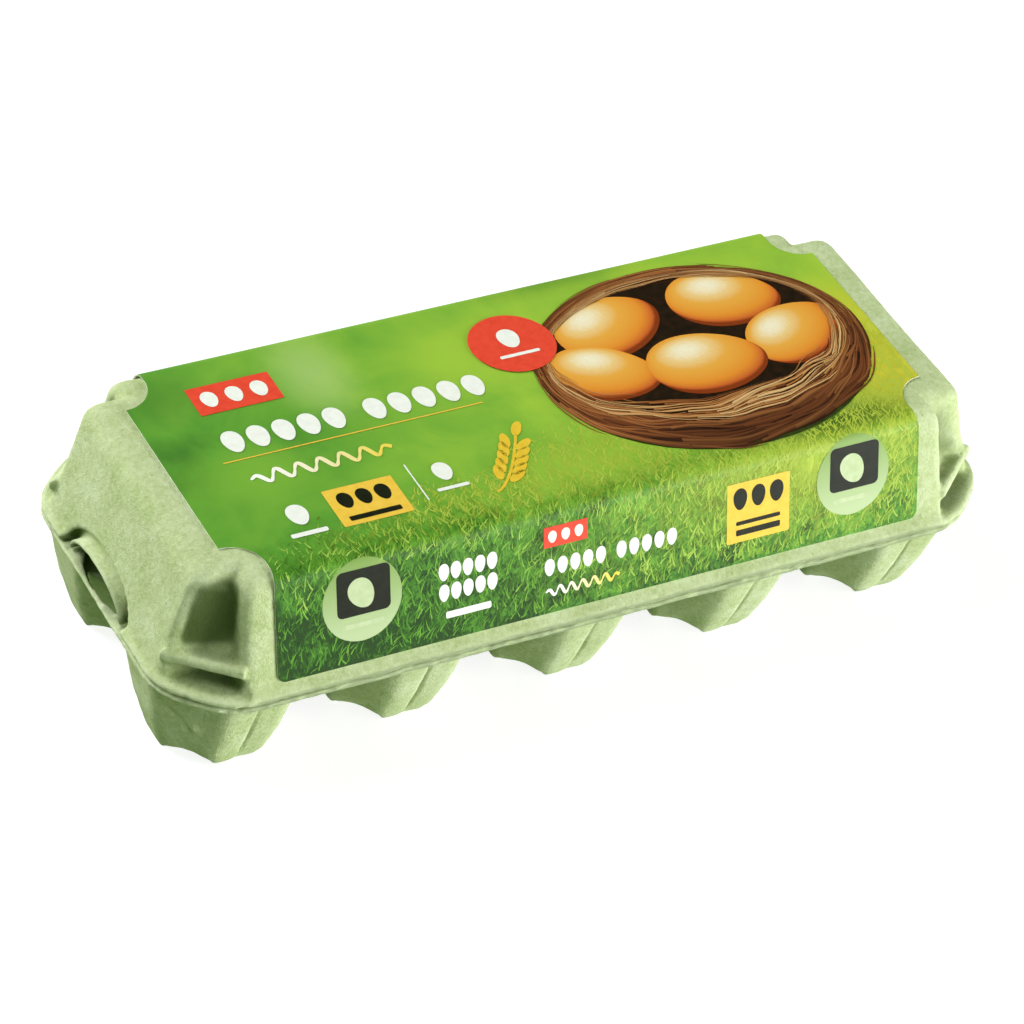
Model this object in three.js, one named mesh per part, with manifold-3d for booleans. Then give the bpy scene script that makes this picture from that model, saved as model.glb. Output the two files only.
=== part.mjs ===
// A shut 2 x 5 egg carton in moulded paper pulp, with a printed paper label over its lid.
// Millimetres, +Z up, +X along the length, -Y towards the front.
// The origin is on the ground under the middle of the carton.
// The carton is closed and can't be seen into, so tray and lid are solid inside.

import * as THREE from 'three';
import { ConvexGeometry } from 'three/addons/geometries/ConvexGeometry.js';
import { mergeVertices } from 'three/addons/utils/BufferGeometryUtils.js';
import Module from 'manifold-3d';

const wasm = await Module();
wasm.setup();

// Driving dimensions of the whole carton
const HALF_LENGTH = 124.7;
const HALF_WIDTH = 54.3;
const LID_TOP = 65.4;
const SEAM = 31.8;
const GAP = 0.3;

// Rim shared by tray and lid: its corners are cut off by a chamfer and rounded
const RIM_CHAMFER_X = 16.2;
const RIM_CHAMFER_Y = 15;
const RIM_ROUND = 8;
const TRAY_LIP_BOTTOM = 30.2;
const TRAY_LIP_INSET = 2.6;
const TRAY_CEILING = 28.2;
const LID_LIP_TOP = 34.0;
const LID_LIP_BLEND = 36.2;
const LID_LIP_INSET = 2.2;

// Ten cups in two rows. The rows stand 2 mm to the left of the rim's middle, as shown
const CUP_PITCH = 49;
const CUPS_PER_ROW = 5;
const CUP_SHIFT = -2;
const ROW_Y = 24.9;
const CUP_TOP = 29.6;
const CUP_FOOT = 1.2;
const CUP_FLARE_Z = 5;
const CUP_BOTTOM = { side: 16.5, outer: 15.5, inner: 15.5, flat: 7.0, flatEnd: 4.8 };
const CUP_RIM = { side: 24.45, outer: 27.4, inner: 24.7, flat: 8.6, flatEnd: 9.5 };
const CUP_BULGE = 0.8;
const CUP_EDGE_ROUND = 2.2;
const CUP_END_CLEAR = 1.6;
const FOOT_HALF_WIDTH = 6.6;
const GROOVE_WIDTH = 2.2;
const GROOVE_DEPTH = 1.1;

// Lid walls: each leans out by this much for each millimetre down
const FRONT_LEAN = 8 / 30;
const END_LEAN = 0.28;
const PIER_LEAN = 0.05;
const FOLD_Y = 43.6;
const END_TOP_X = 113.6;
const PIER_TOP_X = 103.4;
const END_PANEL_HALF_WIDTH = 37.6;
const TOP_ROUND = 4.5;
const PIER_ROUND = 3;
const END_PANEL_ROUND = 4;

// Each corner of the lid is notched, with a ledge, a sloping floor above it and a pocket below
const LEDGE_TOP = 42;
const LEDGE_BOTTOM = 38.6;
const LEDGE_WIDTH = 4.4;
const LEDGE_END = { x: 122.6, y: 35.6 };
const LEDGE_PIER = { x: 105.0, y: 50.6 };
const NOTCH_FLOOR_PEAK = 50.5;
const POCKET_DEPTH = 5.6;

// Crescent opening at each end, under an arched lip in a shallow recess
const CRESCENT_Y = 3;
const CRESCENT_HALF_WIDTH = 15.5;
const CRESCENT_RISE = 6.8;
const CRESCENT_DEPTH = 11;
const ARCH_LIP = 1.5;
const ARCH_STEP = 2.6;
const ARCH_FACE_X = 119.6;
const ARCH_LIP_FACE_X = 123.2;
const SCOOP_DEPTH = 5.5;
const SCOOP_WALL = 1.6;

// Hinge fold along the back: a flat strip that stands up from the tray's rim behind the lid
const HINGE_HALF_LENGTH = 98;
const HINGE_TOP = 35.2;
const HINGE_WALL = 1.1;

// Paper label: one sheet over the front, the top and the back
const LABEL_GAP = 0.3;
const LABEL_THICKNESS = 0.45;
const LABEL_FLAP_HALF = 95.8;
const LABEL_TOP_HALF = 105.4;
const LABEL_NOTCH_HALF = 94.6;
const LABEL_NOTCH_START = 28.5;
const LABEL_NOTCH_END = 37.5;
const LABEL_BOTTOM = 36.2;
const LABEL_BOTTOM_ROUND = 2.2;

const finish = (name, color, roughness) => new THREE.MeshStandardMaterial({ name, color, roughness, metalness: 0 });
const PULP = finish('pulp', 0xb9ca92, 0.95);
const PULP_LID = finish('pulp_lid', 0xc2d2a0, 0.95);
const PAPER = finish('paper', 0x5f9a2c, 0.35);

const EPS = 0.01;
const OVERLAP = 0.5;

// Solids: closed meshes in and out of the boolean library

function toSolid(geometry) {
  const bare = geometry.clone();
  bare.deleteAttribute('normal');
  bare.deleteAttribute('uv');
  const merged = mergeVertices(bare, 1e-4);
  return new wasm.Manifold(new wasm.Mesh({
    numProp: 3,
    vertProperties: new Float32Array(merged.attributes.position.array),
    triVerts: new Uint32Array(merged.index.array),
  }));
}

function toGeometry(solid) {
  const mesh = solid.getMesh();
  const geometry = new THREE.BufferGeometry();
  geometry.setAttribute('position', new THREE.BufferAttribute(new Float32Array(mesh.vertProperties), 3));
  geometry.setIndex(new THREE.BufferAttribute(new Uint32Array(mesh.triVerts), 1));
  geometry.computeVertexNormals();
  return geometry;
}

function union(solids) {
  return solids.reduce((whole, piece) => whole.add(piece));
}

function hull(points) {
  return toSolid(new ConvexGeometry(points.map(([x, y, z]) => new THREE.Vector3(x, y, z))));
}

// A solid through a stack of level outlines that all have the same number of points
function loft(levels) {
  const count = levels[0].outline.length;
  const vertices = levels.flatMap(({ outline, z }) => outline.flatMap((p) => [p.x, p.y, z]));
  const faces = [];
  for (let level = 0; level + 1 < levels.length; level += 1) {
    for (let i = 0; i < count; i += 1) {
      const a = level * count + i;
      const b = level * count + (i + 1) % count;
      faces.push(a, b, b + count, a, b + count, a + count);
    }
  }
  const last = (levels.length - 1) * count;
  for (const [a, b, c] of THREE.ShapeUtils.triangulateShape(levels[0].outline, [])) {
    faces.push(a, c, b);
  }
  for (const [a, b, c] of THREE.ShapeUtils.triangulateShape(levels.at(-1).outline, [])) {
    faces.push(last + a, last + b, last + c);
  }
  const geometry = new THREE.BufferGeometry();
  geometry.setAttribute('position', new THREE.Float32BufferAttribute(vertices, 3));
  geometry.setIndex(faces);
  return toSolid(geometry);
}

// The corners of a convex outline, each rounded by a curve of a few points
function rounded(corners, round, steps = 4) {
  const points = [];
  corners.forEach((corner, i) => {
    const before = corners.at(i - 1);
    const after = corners[(i + 1) % corners.length];
    const reach = (other) => Math.min(round, corner.distanceTo(other) * 0.45);
    const start = corner.clone().lerp(before, reach(before) / corner.distanceTo(before));
    const end = corner.clone().lerp(after, reach(after) / corner.distanceTo(after));
    points.push(...new THREE.QuadraticBezierCurve(start, corner, end).getPoints(steps));
  });
  return points;
}

function rectangle(halfX, halfY, round) {
  const corners = [[-1, -1], [1, -1], [1, 1], [-1, 1]];
  return rounded(corners.map(([sx, sy]) => new THREE.Vector2(sx * halfX, sy * halfY)), round);
}

function rimOutline(inset) {
  const [x, y] = [HALF_LENGTH - inset, HALF_WIDTH - inset];
  const innerX = HALF_LENGTH - RIM_CHAMFER_X - inset * 0.4;
  const innerY = HALF_WIDTH - RIM_CHAMFER_Y - inset * 0.4;
  const corners = [
    [-innerX, -y], [innerX, -y], [x, -innerY], [x, innerY],
    [innerX, y], [-innerX, y], [-x, innerY], [-x, -innerY],
  ];
  return rounded(corners.map(([px, py]) => new THREE.Vector2(px, py)), RIM_ROUND);
}

// Half an ellipse standing on the seam, pushed through the wall of one end
function archPrism(halfWidth, rise, fromX, toX, side) {
  const arch = new THREE.Shape();
  arch.absellipse(0, 0, halfWidth, rise, 0, Math.PI, false, 0);
  arch.lineTo(-halfWidth, -GAP - OVERLAP);
  arch.lineTo(halfWidth, -GAP - OVERLAP);
  arch.closePath();
  const along = { depth: toX - fromX, bevelEnabled: false, curveSegments: 16 };
  const geometry = new THREE.ExtrudeGeometry(arch, along);
  geometry.rotateX(Math.PI / 2);
  geometry.rotateZ(Math.PI / 2);
  geometry.translate(fromX, CRESCENT_Y, SEAM + GAP / 2);
  return side > 0 ? toSolid(geometry) : toSolid(geometry).mirror([1, 0, 0]);
}

// Tray

function cupOutline(centreX, row, size) {
  const { left, right, outer, inner, flat, flatEnd } = size;
  const corners = [
    [-flat, -outer], [flat, -outer], [right, -flatEnd], [right, flatEnd],
    [flat, inner], [-flat, inner], [-left, flatEnd], [-left, -flatEnd],
  ];
  const points = corners.map(([x, y]) => new THREE.Vector2(centreX + x, -ROW_Y + y));
  if (row > 0) points.forEach((point) => point.setY(-point.y));
  return rounded(row > 0 ? points.reverse() : points, CUP_EDGE_ROUND, 2);
}

// Sizes between the cup's bottom, at 0, and the rim, at 1, with walls that bow out a little
function cupSize(share, reachLeft, reachRight) {
  const bow = CUP_BULGE * Math.sin(Math.PI * share);
  const between = (name, top = CUP_RIM[name]) => THREE.MathUtils.lerp(CUP_BOTTOM[name], top, share) + bow;
  return {
    left: between('side', reachLeft),
    right: between('side', reachRight),
    outer: between('outer'),
    inner: between('inner'),
    flat: between('flat') - bow,
    flatEnd: between('flatEnd') - bow,
  };
}

function cup(column, row) {
  const centreX = (column - (CUPS_PER_ROW - 1) / 2) * CUP_PITCH + CUP_SHIFT;
  const endReach = (side) => HALF_LENGTH - CUP_END_CLEAR - side * centreX;
  const reachLeft = column === 0 ? endReach(-1) : CUP_RIM.side;
  const reachRight = column === CUPS_PER_ROW - 1 ? endReach(1) : CUP_RIM.side;
  const outlineAt = (share, inset = 0) => {
    const size = cupSize(share, reachLeft, reachRight);
    Object.keys(size).forEach((name) => { size[name] -= inset; });
    return cupOutline(centreX, row, size);
  };
  const shareAt = (z) => z / CUP_TOP;
  const body = loft([
    { outline: outlineAt(0, 1.2), z: CUP_FOOT },
    { outline: outlineAt(shareAt(CUP_FOOT + 1)), z: CUP_FOOT + 1.4 },
    { outline: outlineAt(shareAt(CUP_TOP * 0.5)), z: CUP_TOP * 0.5 },
    { outline: outlineAt(1), z: CUP_TOP },
  ]);
  return union([body, ...feet(centreX, row)]).subtract(groove(centreX, row));
}

// Two low bars cross under each cup and carry it
function feet(centreX, row) {
  const size = cupSize(0, CUP_RIM.side, CUP_RIM.side);
  const top = CUP_FLARE_Z;
  const bar = (halfX, halfY) => {
    const slope = (CUP_RIM.side - CUP_BOTTOM.side) / CUP_TOP * top;
    const corners = (grow, z) => [[-1, -1], [1, -1], [1, 1], [-1, 1]]
      .map(([sx, sy]) => [centreX + sx * (halfX + grow), row * ROW_Y + sy * (halfY + grow), z]);
    return hull([...corners(-0.5, 0), ...corners(0, 0.8), ...corners(slope * 0.3, top)]);
  };
  return [bar(FOOT_HALF_WIDTH, size.outer - 0.2), bar(size.left - 0.2, CUP_BOTTOM.flatEnd - 0.4)];
}

// The crease down the middle of a cup's outer face
function groove(centreX, row) {
  const low = [-(ROW_Y + CUP_BOTTOM.outer), -EPS - OVERLAP];
  const high = [-(ROW_Y + CUP_RIM.outer), CUP_TOP];
  const section = ([y, z]) => [
    [centreX, row * -(y + GROOVE_DEPTH), z],
    [centreX - GROOVE_WIDTH / 2, row * -(y - OVERLAP - CUP_BULGE), z],
    [centreX + GROOVE_WIDTH / 2, row * -(y - OVERLAP - CUP_BULGE), z],
  ];
  return hull([...section(low), ...section(high)]);
}

function hinge() {
  const [low, high] = [TRAY_LIP_BOTTOM, HINGE_TOP];
  const outer = HALF_WIDTH + GAP + HINGE_WALL;
  const strip = (halfX, y, z) => [[-halfX, y, z], [halfX, y, z]];
  return hull([
    ...strip(HINGE_HALF_LENGTH, HALF_WIDTH - OVERLAP - 1, low),
    ...strip(HINGE_HALF_LENGTH - 1, outer - 0.4, low),
    ...strip(HINGE_HALF_LENGTH - 1, outer, low + 1),
    ...strip(HINGE_HALF_LENGTH - 2, outer, high - 0.6),
    ...strip(HINGE_HALF_LENGTH - 2, outer - 0.5, high),
    ...strip(HINGE_HALF_LENGTH, HALF_WIDTH - OVERLAP - 1, SEAM - GAP / 2),
    ...strip(HINGE_HALF_LENGTH - 2, HALF_WIDTH + GAP, high),
  ]);
}

// The hollow behind the tray's lip, seen through the crescent opening
function scoop(side) {
  const geometry = new THREE.SphereGeometry(1, 24, 12);
  geometry.scale(CRESCENT_DEPTH / 2, CRESCENT_HALF_WIDTH - 0.8, SCOOP_DEPTH);
  geometry.translate(HALF_LENGTH - SCOOP_WALL - CRESCENT_DEPTH / 2, CRESCENT_Y, SEAM - GAP / 2);
  return side > 0 ? toSolid(geometry) : toSolid(geometry).mirror([1, 0, 0]);
}

function tray() {
  const lipTop = SEAM - GAP / 2;
  const rim = loft([
    { outline: rimOutline(TRAY_LIP_INSET), z: TRAY_CEILING },
    { outline: rimOutline(0.5), z: TRAY_LIP_BOTTOM },
    { outline: rimOutline(0), z: TRAY_LIP_BOTTOM + 0.5 },
    { outline: rimOutline(0), z: lipTop - 0.4 },
    { outline: rimOutline(0.4), z: lipTop },
  ]);
  const cups = [];
  for (const row of [-1, 1]) {
    for (let column = 0; column < CUPS_PER_ROW; column += 1) cups.push(cup(column, row));
  }
  const strip = hinge().subtract(lidClearance());
  return union([rim, ...cups, strip]).subtract(scoop(1)).subtract(scoop(-1));
}

// The room that the lid's lip takes in front of the hinge strip
function lidClearance() {
  const [low, high] = [SEAM - GAP / 2, HINGE_TOP + 1];
  return loft([{ outline: rimOutline(-GAP), z: low }, { outline: rimOutline(-GAP), z: high }]);
}

// Lid

// How far the front wall stands from the middle, at a height
function frontFace(z) {
  return FOLD_Y + (LID_TOP - z) * FRONT_LEAN;
}

// A block with leaning walls and a rounded top edge
function leaningBlock(halfXAt, halfYAt, round) {
  const levels = [{ outline: rectangle(halfXAt(SEAM), halfYAt(SEAM), round), z: SEAM + GAP / 2 }];
  const steps = 4;
  for (let i = 0; i <= steps; i += 1) {
    const turn = (i / steps) * (Math.PI / 2);
    const inset = TOP_ROUND * (1 - Math.cos(turn));
    const z = LID_TOP - TOP_ROUND * (1 - Math.sin(turn));
    levels.push({ outline: rectangle(halfXAt(z) - inset, halfYAt(z) - inset, round), z });
  }
  return loft(levels);
}

// The ledge, the floor above it and the wall of the pocket below it, in one corner
function cornerPieces(sideX, sideY) {
  const along = new THREE.Vector2(LEDGE_PIER.x - LEDGE_END.x, LEDGE_PIER.y - LEDGE_END.y).normalize();
  const inward = new THREE.Vector2(along.y, -along.x).multiplyScalar(-1);
  const end = new THREE.Vector2(LEDGE_END.x, LEDGE_END.y);
  const pier = new THREE.Vector2(LEDGE_PIER.x, LEDGE_PIER.y);
  const back = (point, depth) => point.clone().addScaledVector(inward, depth);
  const place = (point, z) => [sideX * point.x, sideY * point.y, z];
  const heart = new THREE.Vector2(PIER_TOP_X - 2, END_PANEL_HALF_WIDTH - 2);
  const behindEnd = new THREE.Vector2(PIER_TOP_X + 10, END_PANEL_HALF_WIDTH - 4);
  const behindPier = new THREE.Vector2(PIER_TOP_X - 3, END_PANEL_HALF_WIDTH + 8);
  const upright = (points, low, high) => points.flatMap((point) => [place(point, low), place(point, high)]);
  const edgeBack = [back(end, 0.8), back(pier, 0.8)];
  const inside = [behindEnd, behindPier, heart];
  const ledge = hull([
    ...upright([end, pier], LEDGE_BOTTOM + 0.6, LEDGE_TOP - 0.8),
    ...upright([...edgeBack, ...inside], LEDGE_BOTTOM, LEDGE_TOP),
  ]);
  const floorEdge = [back(end, LEDGE_WIDTH), back(pier, LEDGE_WIDTH)];
  const floor = hull([
    ...floorEdge.map((point) => place(point, LEDGE_TOP - 0.4)),
    ...[behindEnd, behindPier].map((point) => place(point, LEDGE_TOP - 0.4)),
    place(heart, NOTCH_FLOOR_PEAK + 1.5),
    place(heart, LEDGE_TOP - 0.4),
  ]);
  const wallLine = [back(end, POCKET_DEPTH), back(pier, POCKET_DEPTH)];
  const pocketWall = hull(upright([...wallLine, ...inside], SEAM + GAP / 2, LEDGE_BOTTOM + OVERLAP));
  return [ledge, floor, pocketWall];
}

function lidLip() {
  return loft([
    { outline: rimOutline(0.5), z: SEAM + GAP / 2 },
    { outline: rimOutline(0), z: SEAM + GAP / 2 + 0.5 },
    { outline: rimOutline(0), z: LID_LIP_TOP - 0.6 },
    { outline: rimOutline(0.6), z: LID_LIP_TOP },
    { outline: rimOutline(LID_LIP_INSET + 3), z: LID_LIP_TOP + 0.4 },
  ]);
}

// The lip's soft rise into the front and the back wall
function lipBlend() {
  const profile = [
    [HALF_WIDTH - 0.6, LID_LIP_TOP],
    [frontFace(LID_LIP_BLEND), LID_LIP_BLEND],
    [frontFace(LID_LIP_TOP) - 3, LID_LIP_TOP],
  ];
  const ends = ([y, z], row) => [[-PIER_TOP_X, row * y, z], [PIER_TOP_X, row * y, z]];
  return [-1, 1].map((row) => hull(profile.flatMap((point) => ends(point, row))));
}

function lid() {
  const pierEnd = (z) => PIER_TOP_X + (LID_TOP - z) * PIER_LEAN;
  const endFace = (z) => END_TOP_X + (LID_TOP - z) * END_LEAN;
  const piers = leaningBlock(pierEnd, frontFace, PIER_ROUND);
  const ends = leaningBlock(endFace, () => END_PANEL_HALF_WIDTH, END_PANEL_ROUND);
  const pieces = [piers, ends, lidLip(), ...lipBlend()];
  for (const sideX of [-1, 1]) {
    for (const sideY of [-1, 1]) pieces.push(...cornerPieces(sideX, sideY));
  }
  return [-1, 1].reduce(openEnd, union(pieces));
}

// Cuts the shallow recess into one end, sets the arched lip in it and opens the crescent
function openEnd(solid, side) {
  const outside = HALF_LENGTH + 5;
  const arch = (grow, fromX, toX) => (
    archPrism(CRESCENT_HALF_WIDTH + grow, CRESCENT_RISE + grow, fromX, toX, side));
  const aboveSeam = loft([SEAM + GAP / 2, LID_TOP].map((z) => ({ outline: rimOutline(0), z })));
  return solid
    .subtract(arch(ARCH_LIP + ARCH_STEP, ARCH_FACE_X, outside))
    .add(arch(ARCH_LIP, ARCH_FACE_X - 1, ARCH_LIP_FACE_X).intersect(aboveSeam))
    .subtract(arch(0, HALF_LENGTH - CRESCENT_DEPTH, outside));
}

// Label

// Points along the sheet's path from the front edge to the back edge, with the half width there
function labelStations() {
  const slope = Math.hypot(1, FRONT_LEAN);
  const wall = (z) => frontFace(z) + LABEL_GAP * slope;
  const top = LID_TOP + LABEL_GAP;
  const round = TOP_ROUND + LABEL_GAP;
  const lean = Math.atan(FRONT_LEAN);
  // centre of the fold's curve, touching the wall and the top
  const centreZ = top - round;
  const centreY = wall(centreZ) - round * slope;
  const stations = [];
  // the flap's lower corners are rounded
  const flapWidths = [[0, 1], [0.3, 0.3], [1, 0]].map(([share, cut]) => (
    [share, LABEL_FLAP_HALF - LABEL_BOTTOM_ROUND * cut]));
  flapWidths.forEach(([share, half]) => {
    const z = LABEL_BOTTOM + share * LABEL_BOTTOM_ROUND;
    stations.push({ y: wall(z), z, normal: lean, half });
  });
  const foldSteps = 6;
  for (let i = 0; i <= foldSteps; i += 1) {
    const turn = lean + (i / foldSteps) * (Math.PI / 2 - lean);
    stations.push({
      y: centreY + round * Math.cos(turn),
      z: centreZ + round * Math.sin(turn),
      normal: turn,
      half: THREE.MathUtils.lerp(LABEL_FLAP_HALF - 0.4, LABEL_NOTCH_HALF, i / foldSteps),
    });
  }
  // the notch runs out from the fold to the wide part in an S curve
  const notchSteps = 8;
  for (let i = 0; i <= notchSteps; i += 1) {
    const share = i / notchSteps;
    const y = THREE.MathUtils.lerp(LABEL_NOTCH_END, LABEL_NOTCH_START, share);
    const half = THREE.MathUtils.lerp(LABEL_NOTCH_HALF, LABEL_TOP_HALF, share ** 1.7);
    stations.push({ y, z: top, normal: Math.PI / 2, half });
  }
  return stations;
}

function label() {
  const front = labelStations();
  const stations = [
    ...front.map((s) => ({ ...s, y: -s.y, turnY: -Math.cos(s.normal) })),
    ...front.toReversed().map((s) => ({ ...s, turnY: Math.cos(s.normal) })),
  ];
  const vertices = stations.flatMap(({ y, z, normal, turnY, half }) => {
    const outerY = y + LABEL_THICKNESS * turnY;
    const outerZ = z + LABEL_THICKNESS * Math.sin(normal);
    return [-half, outerY, outerZ, half, outerY, outerZ, half, y, z, -half, y, z];
  });
  const faces = [];
  for (let i = 0; i + 1 < stations.length; i += 1) {
    for (let side = 0; side < 4; side += 1) {
      const a = i * 4 + side;
      const b = i * 4 + (side + 1) % 4;
      faces.push(a, b, b + 4, a, b + 4, a + 4);
    }
  }
  const last = (stations.length - 1) * 4;
  faces.push(0, 2, 1, 0, 3, 2, last, last + 1, last + 2, last, last + 2, last + 3);
  const geometry = new THREE.BufferGeometry();
  geometry.setAttribute('position', new THREE.Float32BufferAttribute(vertices, 3));
  geometry.setIndex(faces);
  return toSolid(geometry);
}

function part(name, solid, material) {
  const mesh = new THREE.Mesh(toGeometry(solid), material);
  mesh.name = name;
  return mesh;
}

const group = new THREE.Group();
// the hinge makes the back stand out a little, so the whole moves forward by half of that
group.position.y = -(GAP + HINGE_WALL) / 2;
group.add(part('tray', tray(), PULP), part('lid', lid(), PULP_LID), part('label', label(), PAPER));

export default group;
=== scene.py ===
"""A shut egg carton of pale green moulded pulp with a printed paper label wrapped over its lid.

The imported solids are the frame. Tray and lid are re-made as soft, uneven pulp, and the label as a
glued paper sheet whose print is plain shapes: grass, a nest with eggs, tags, boxes and ovals.
"""

import logging
import math
from dataclasses import dataclass
from enum import Enum
from typing import Callable, Iterable, Sequence

import bpy
import numpy as np
from bpy.types import Material, Mesh, Node, NodeSocket, NodeTree, Object
from mathutils import Matrix, Vector, noise
from mathutils.bvhtree import BVHTree

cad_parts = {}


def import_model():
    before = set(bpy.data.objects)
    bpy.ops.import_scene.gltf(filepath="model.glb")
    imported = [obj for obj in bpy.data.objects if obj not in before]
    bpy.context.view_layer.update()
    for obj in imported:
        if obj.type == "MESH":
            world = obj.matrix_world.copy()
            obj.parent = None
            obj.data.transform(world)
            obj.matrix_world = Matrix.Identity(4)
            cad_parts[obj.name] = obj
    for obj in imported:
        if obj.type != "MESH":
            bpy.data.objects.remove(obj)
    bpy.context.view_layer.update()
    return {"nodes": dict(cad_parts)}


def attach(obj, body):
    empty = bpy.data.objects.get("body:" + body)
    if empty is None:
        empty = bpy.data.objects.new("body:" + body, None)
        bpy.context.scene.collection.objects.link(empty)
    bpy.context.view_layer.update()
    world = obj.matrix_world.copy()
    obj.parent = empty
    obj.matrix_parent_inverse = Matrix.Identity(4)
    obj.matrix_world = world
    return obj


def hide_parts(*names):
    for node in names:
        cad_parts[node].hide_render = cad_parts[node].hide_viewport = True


LOG = logging.getLogger("egg_carton")
MM = 0.001
SHAPE_SEED = 11
# printed shapes lie this far above each other, so that they don't share one plane
LAYER_MM = 0.03
# how strongly each surface throws light straight back
MATT_SPECULAR = 0.2
PAPER_SPECULAR = 0.2
INK_SPECULAR = 0.18
# how the room's share is measured: patch, start off the surface and reach, and how many rays
PATCH_MM = 2.2
RAY_START_MM = 1.1
RAY_REACH_M = 0.07
RAYS, QUICK_RAYS = 28, 12
GOLDEN_TURN = 2.399963


@dataclass(frozen=True)
class CartonSizes:
    """The carton's sizes in millimetres, as its solids have them."""

    lid_top: float = 65.4
    seam: float = 31.8
    fold_y: float = 43.6
    front_lean: float = 8 / 30
    top_round: float = 4.5
    middle_y: float = -0.7
    label_bottom: float = 36.2
    flap_half: float = 95.8
    top_half: float = 104.6
    flap_corner: float = 2.4
    bite_y: float = 31.0


SIZES = CartonSizes()


class Slot(Enum):
    """Names of the record's material slots for the pulp and the label's print."""

    PULP = "pulp"
    PRINT = "label_print"


def linear(hex_colour: str) -> tuple[float, float, float, float]:
    """Turns an sRGB hex colour into linear values.

    Args:
        hex_colour: the colour as #rrggbb.

    Returns:
        Red, green, blue and alpha for a colour socket.
    """
    channels = [int(hex_colour[i : i + 2], 16) / 255 for i in (1, 3, 5)]
    flat = [c / 12.92 if c <= 0.04045 else ((c + 0.055) / 1.055) ** 2.4 for c in channels]
    return (*flat, 1.0)


def add_node(tree: NodeTree, kind: str, links: dict | None = None, stops: Sequence | None = None,
             **settings: object) -> Node:
    """Adds one node to a tree.

    Args:
        tree: the node tree.
        kind: the node's type name; a shader node's goes without its first word.
        links: for each named or numbered input a value, an output socket, or a node for its first output.
        stops: for a ramp, pairs of position and hex colour.
        settings: attributes of the node.

    Returns:
        The new node.
    """
    node = tree.nodes.new(kind if "Node" in kind else "ShaderNode" + kind)
    for name, value in settings.items():
        setattr(node, name, value)
    for key, value in (links or {}).items():
        if isinstance(value, Node):
            value = value.outputs[0]
        if isinstance(value, NodeSocket):
            tree.links.new(value, node.inputs[key])
        else:
            node.inputs[key].default_value = value
    if stops:
        elements = node.color_ramp.elements
        while len(elements) < len(stops):
            elements.new(0.5)
        for element, (position, colour) in zip(elements, stops):
            element.position = position
            element.color = linear(colour)
    return node


def new_material(name: str, roughness: float, specular: float = 0.5) -> tuple[Material, NodeTree, Node]:
    """Makes a node material.

    Args:
        name: the finish's name.
        roughness: the shader's roughness, the same all over.
        specular: the shader's specular level, the same all over.

    Returns:
        The material, its tree and its Principled shader, already joined to the output.
    """
    material = bpy.data.materials.new(name)
    material.use_nodes = True
    tree = material.node_tree
    tree.nodes.clear()
    shader = add_node(tree, "BsdfPrincipled", {"Roughness": roughness, "Specular IOR Level": specular})
    add_node(tree, "OutputMaterial", {"Surface": shader})
    return material, tree, shader


def mesh_object(name: str, vertices: np.ndarray, faces: Sequence, uv: np.ndarray | None = None) -> Object:
    """Makes an object from points and faces.

    Args:
        name: the piece's name.
        vertices: points in metres, one row each.
        faces: corner lists.
        uv: one pair for each point, for a UV map.

    Returns:
        The new object, linked to the scene, at the origin.
    """
    mesh = bpy.data.meshes.new(name)
    mesh.from_pydata(vertices.tolist(), [], [list(map(int, face)) for face in faces])
    mesh.update()
    if uv is not None:
        layer = mesh.uv_layers.new(name="print")
        corners = np.empty(len(mesh.loops), dtype=np.int32)
        mesh.loops.foreach_get("vertex_index", corners)
        layer.data.foreach_set("uv", uv[corners].astype(np.float32).ravel())
    mesh.polygons.foreach_set("use_smooth", [True] * len(mesh.polygons))
    piece = bpy.data.objects.new(name, mesh)
    bpy.context.scene.collection.objects.link(piece)
    return piece


def points_of(mesh: Mesh) -> np.ndarray:
    """Gives a mesh's points, one row each."""
    flat = np.empty(len(mesh.vertices) * 3, dtype=np.float32)
    mesh.vertices.foreach_get("co", flat)
    return flat.reshape(-1, 3).astype(np.float64)


def evaluated_mesh(piece: Object) -> Mesh:
    """Gives a plain mesh of a piece with its modifiers applied."""
    graph = bpy.context.evaluated_depsgraph_get()
    return bpy.data.meshes.new_from_object(piece.evaluated_get(graph))


def applied(piece: Object) -> Object:
    """Replaces a piece's mesh by its evaluated one and removes the modifiers.

    Args:
        piece: the piece.

    Returns:
        The same piece.
    """
    mesh = evaluated_mesh(piece)
    piece.modifiers.clear()
    old, piece.data = piece.data, mesh
    bpy.data.meshes.remove(old)
    return piece


def settle(piece: Object) -> Object:
    """Puts a finished piece on the carton's one body.

    Args:
        piece: the finished piece.

    Returns:
        The same piece.
    """
    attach(piece, "root")
    LOG.info("%s: %d faces", piece.name, len(piece.data.polygons))
    return piece


# Finishes


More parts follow.
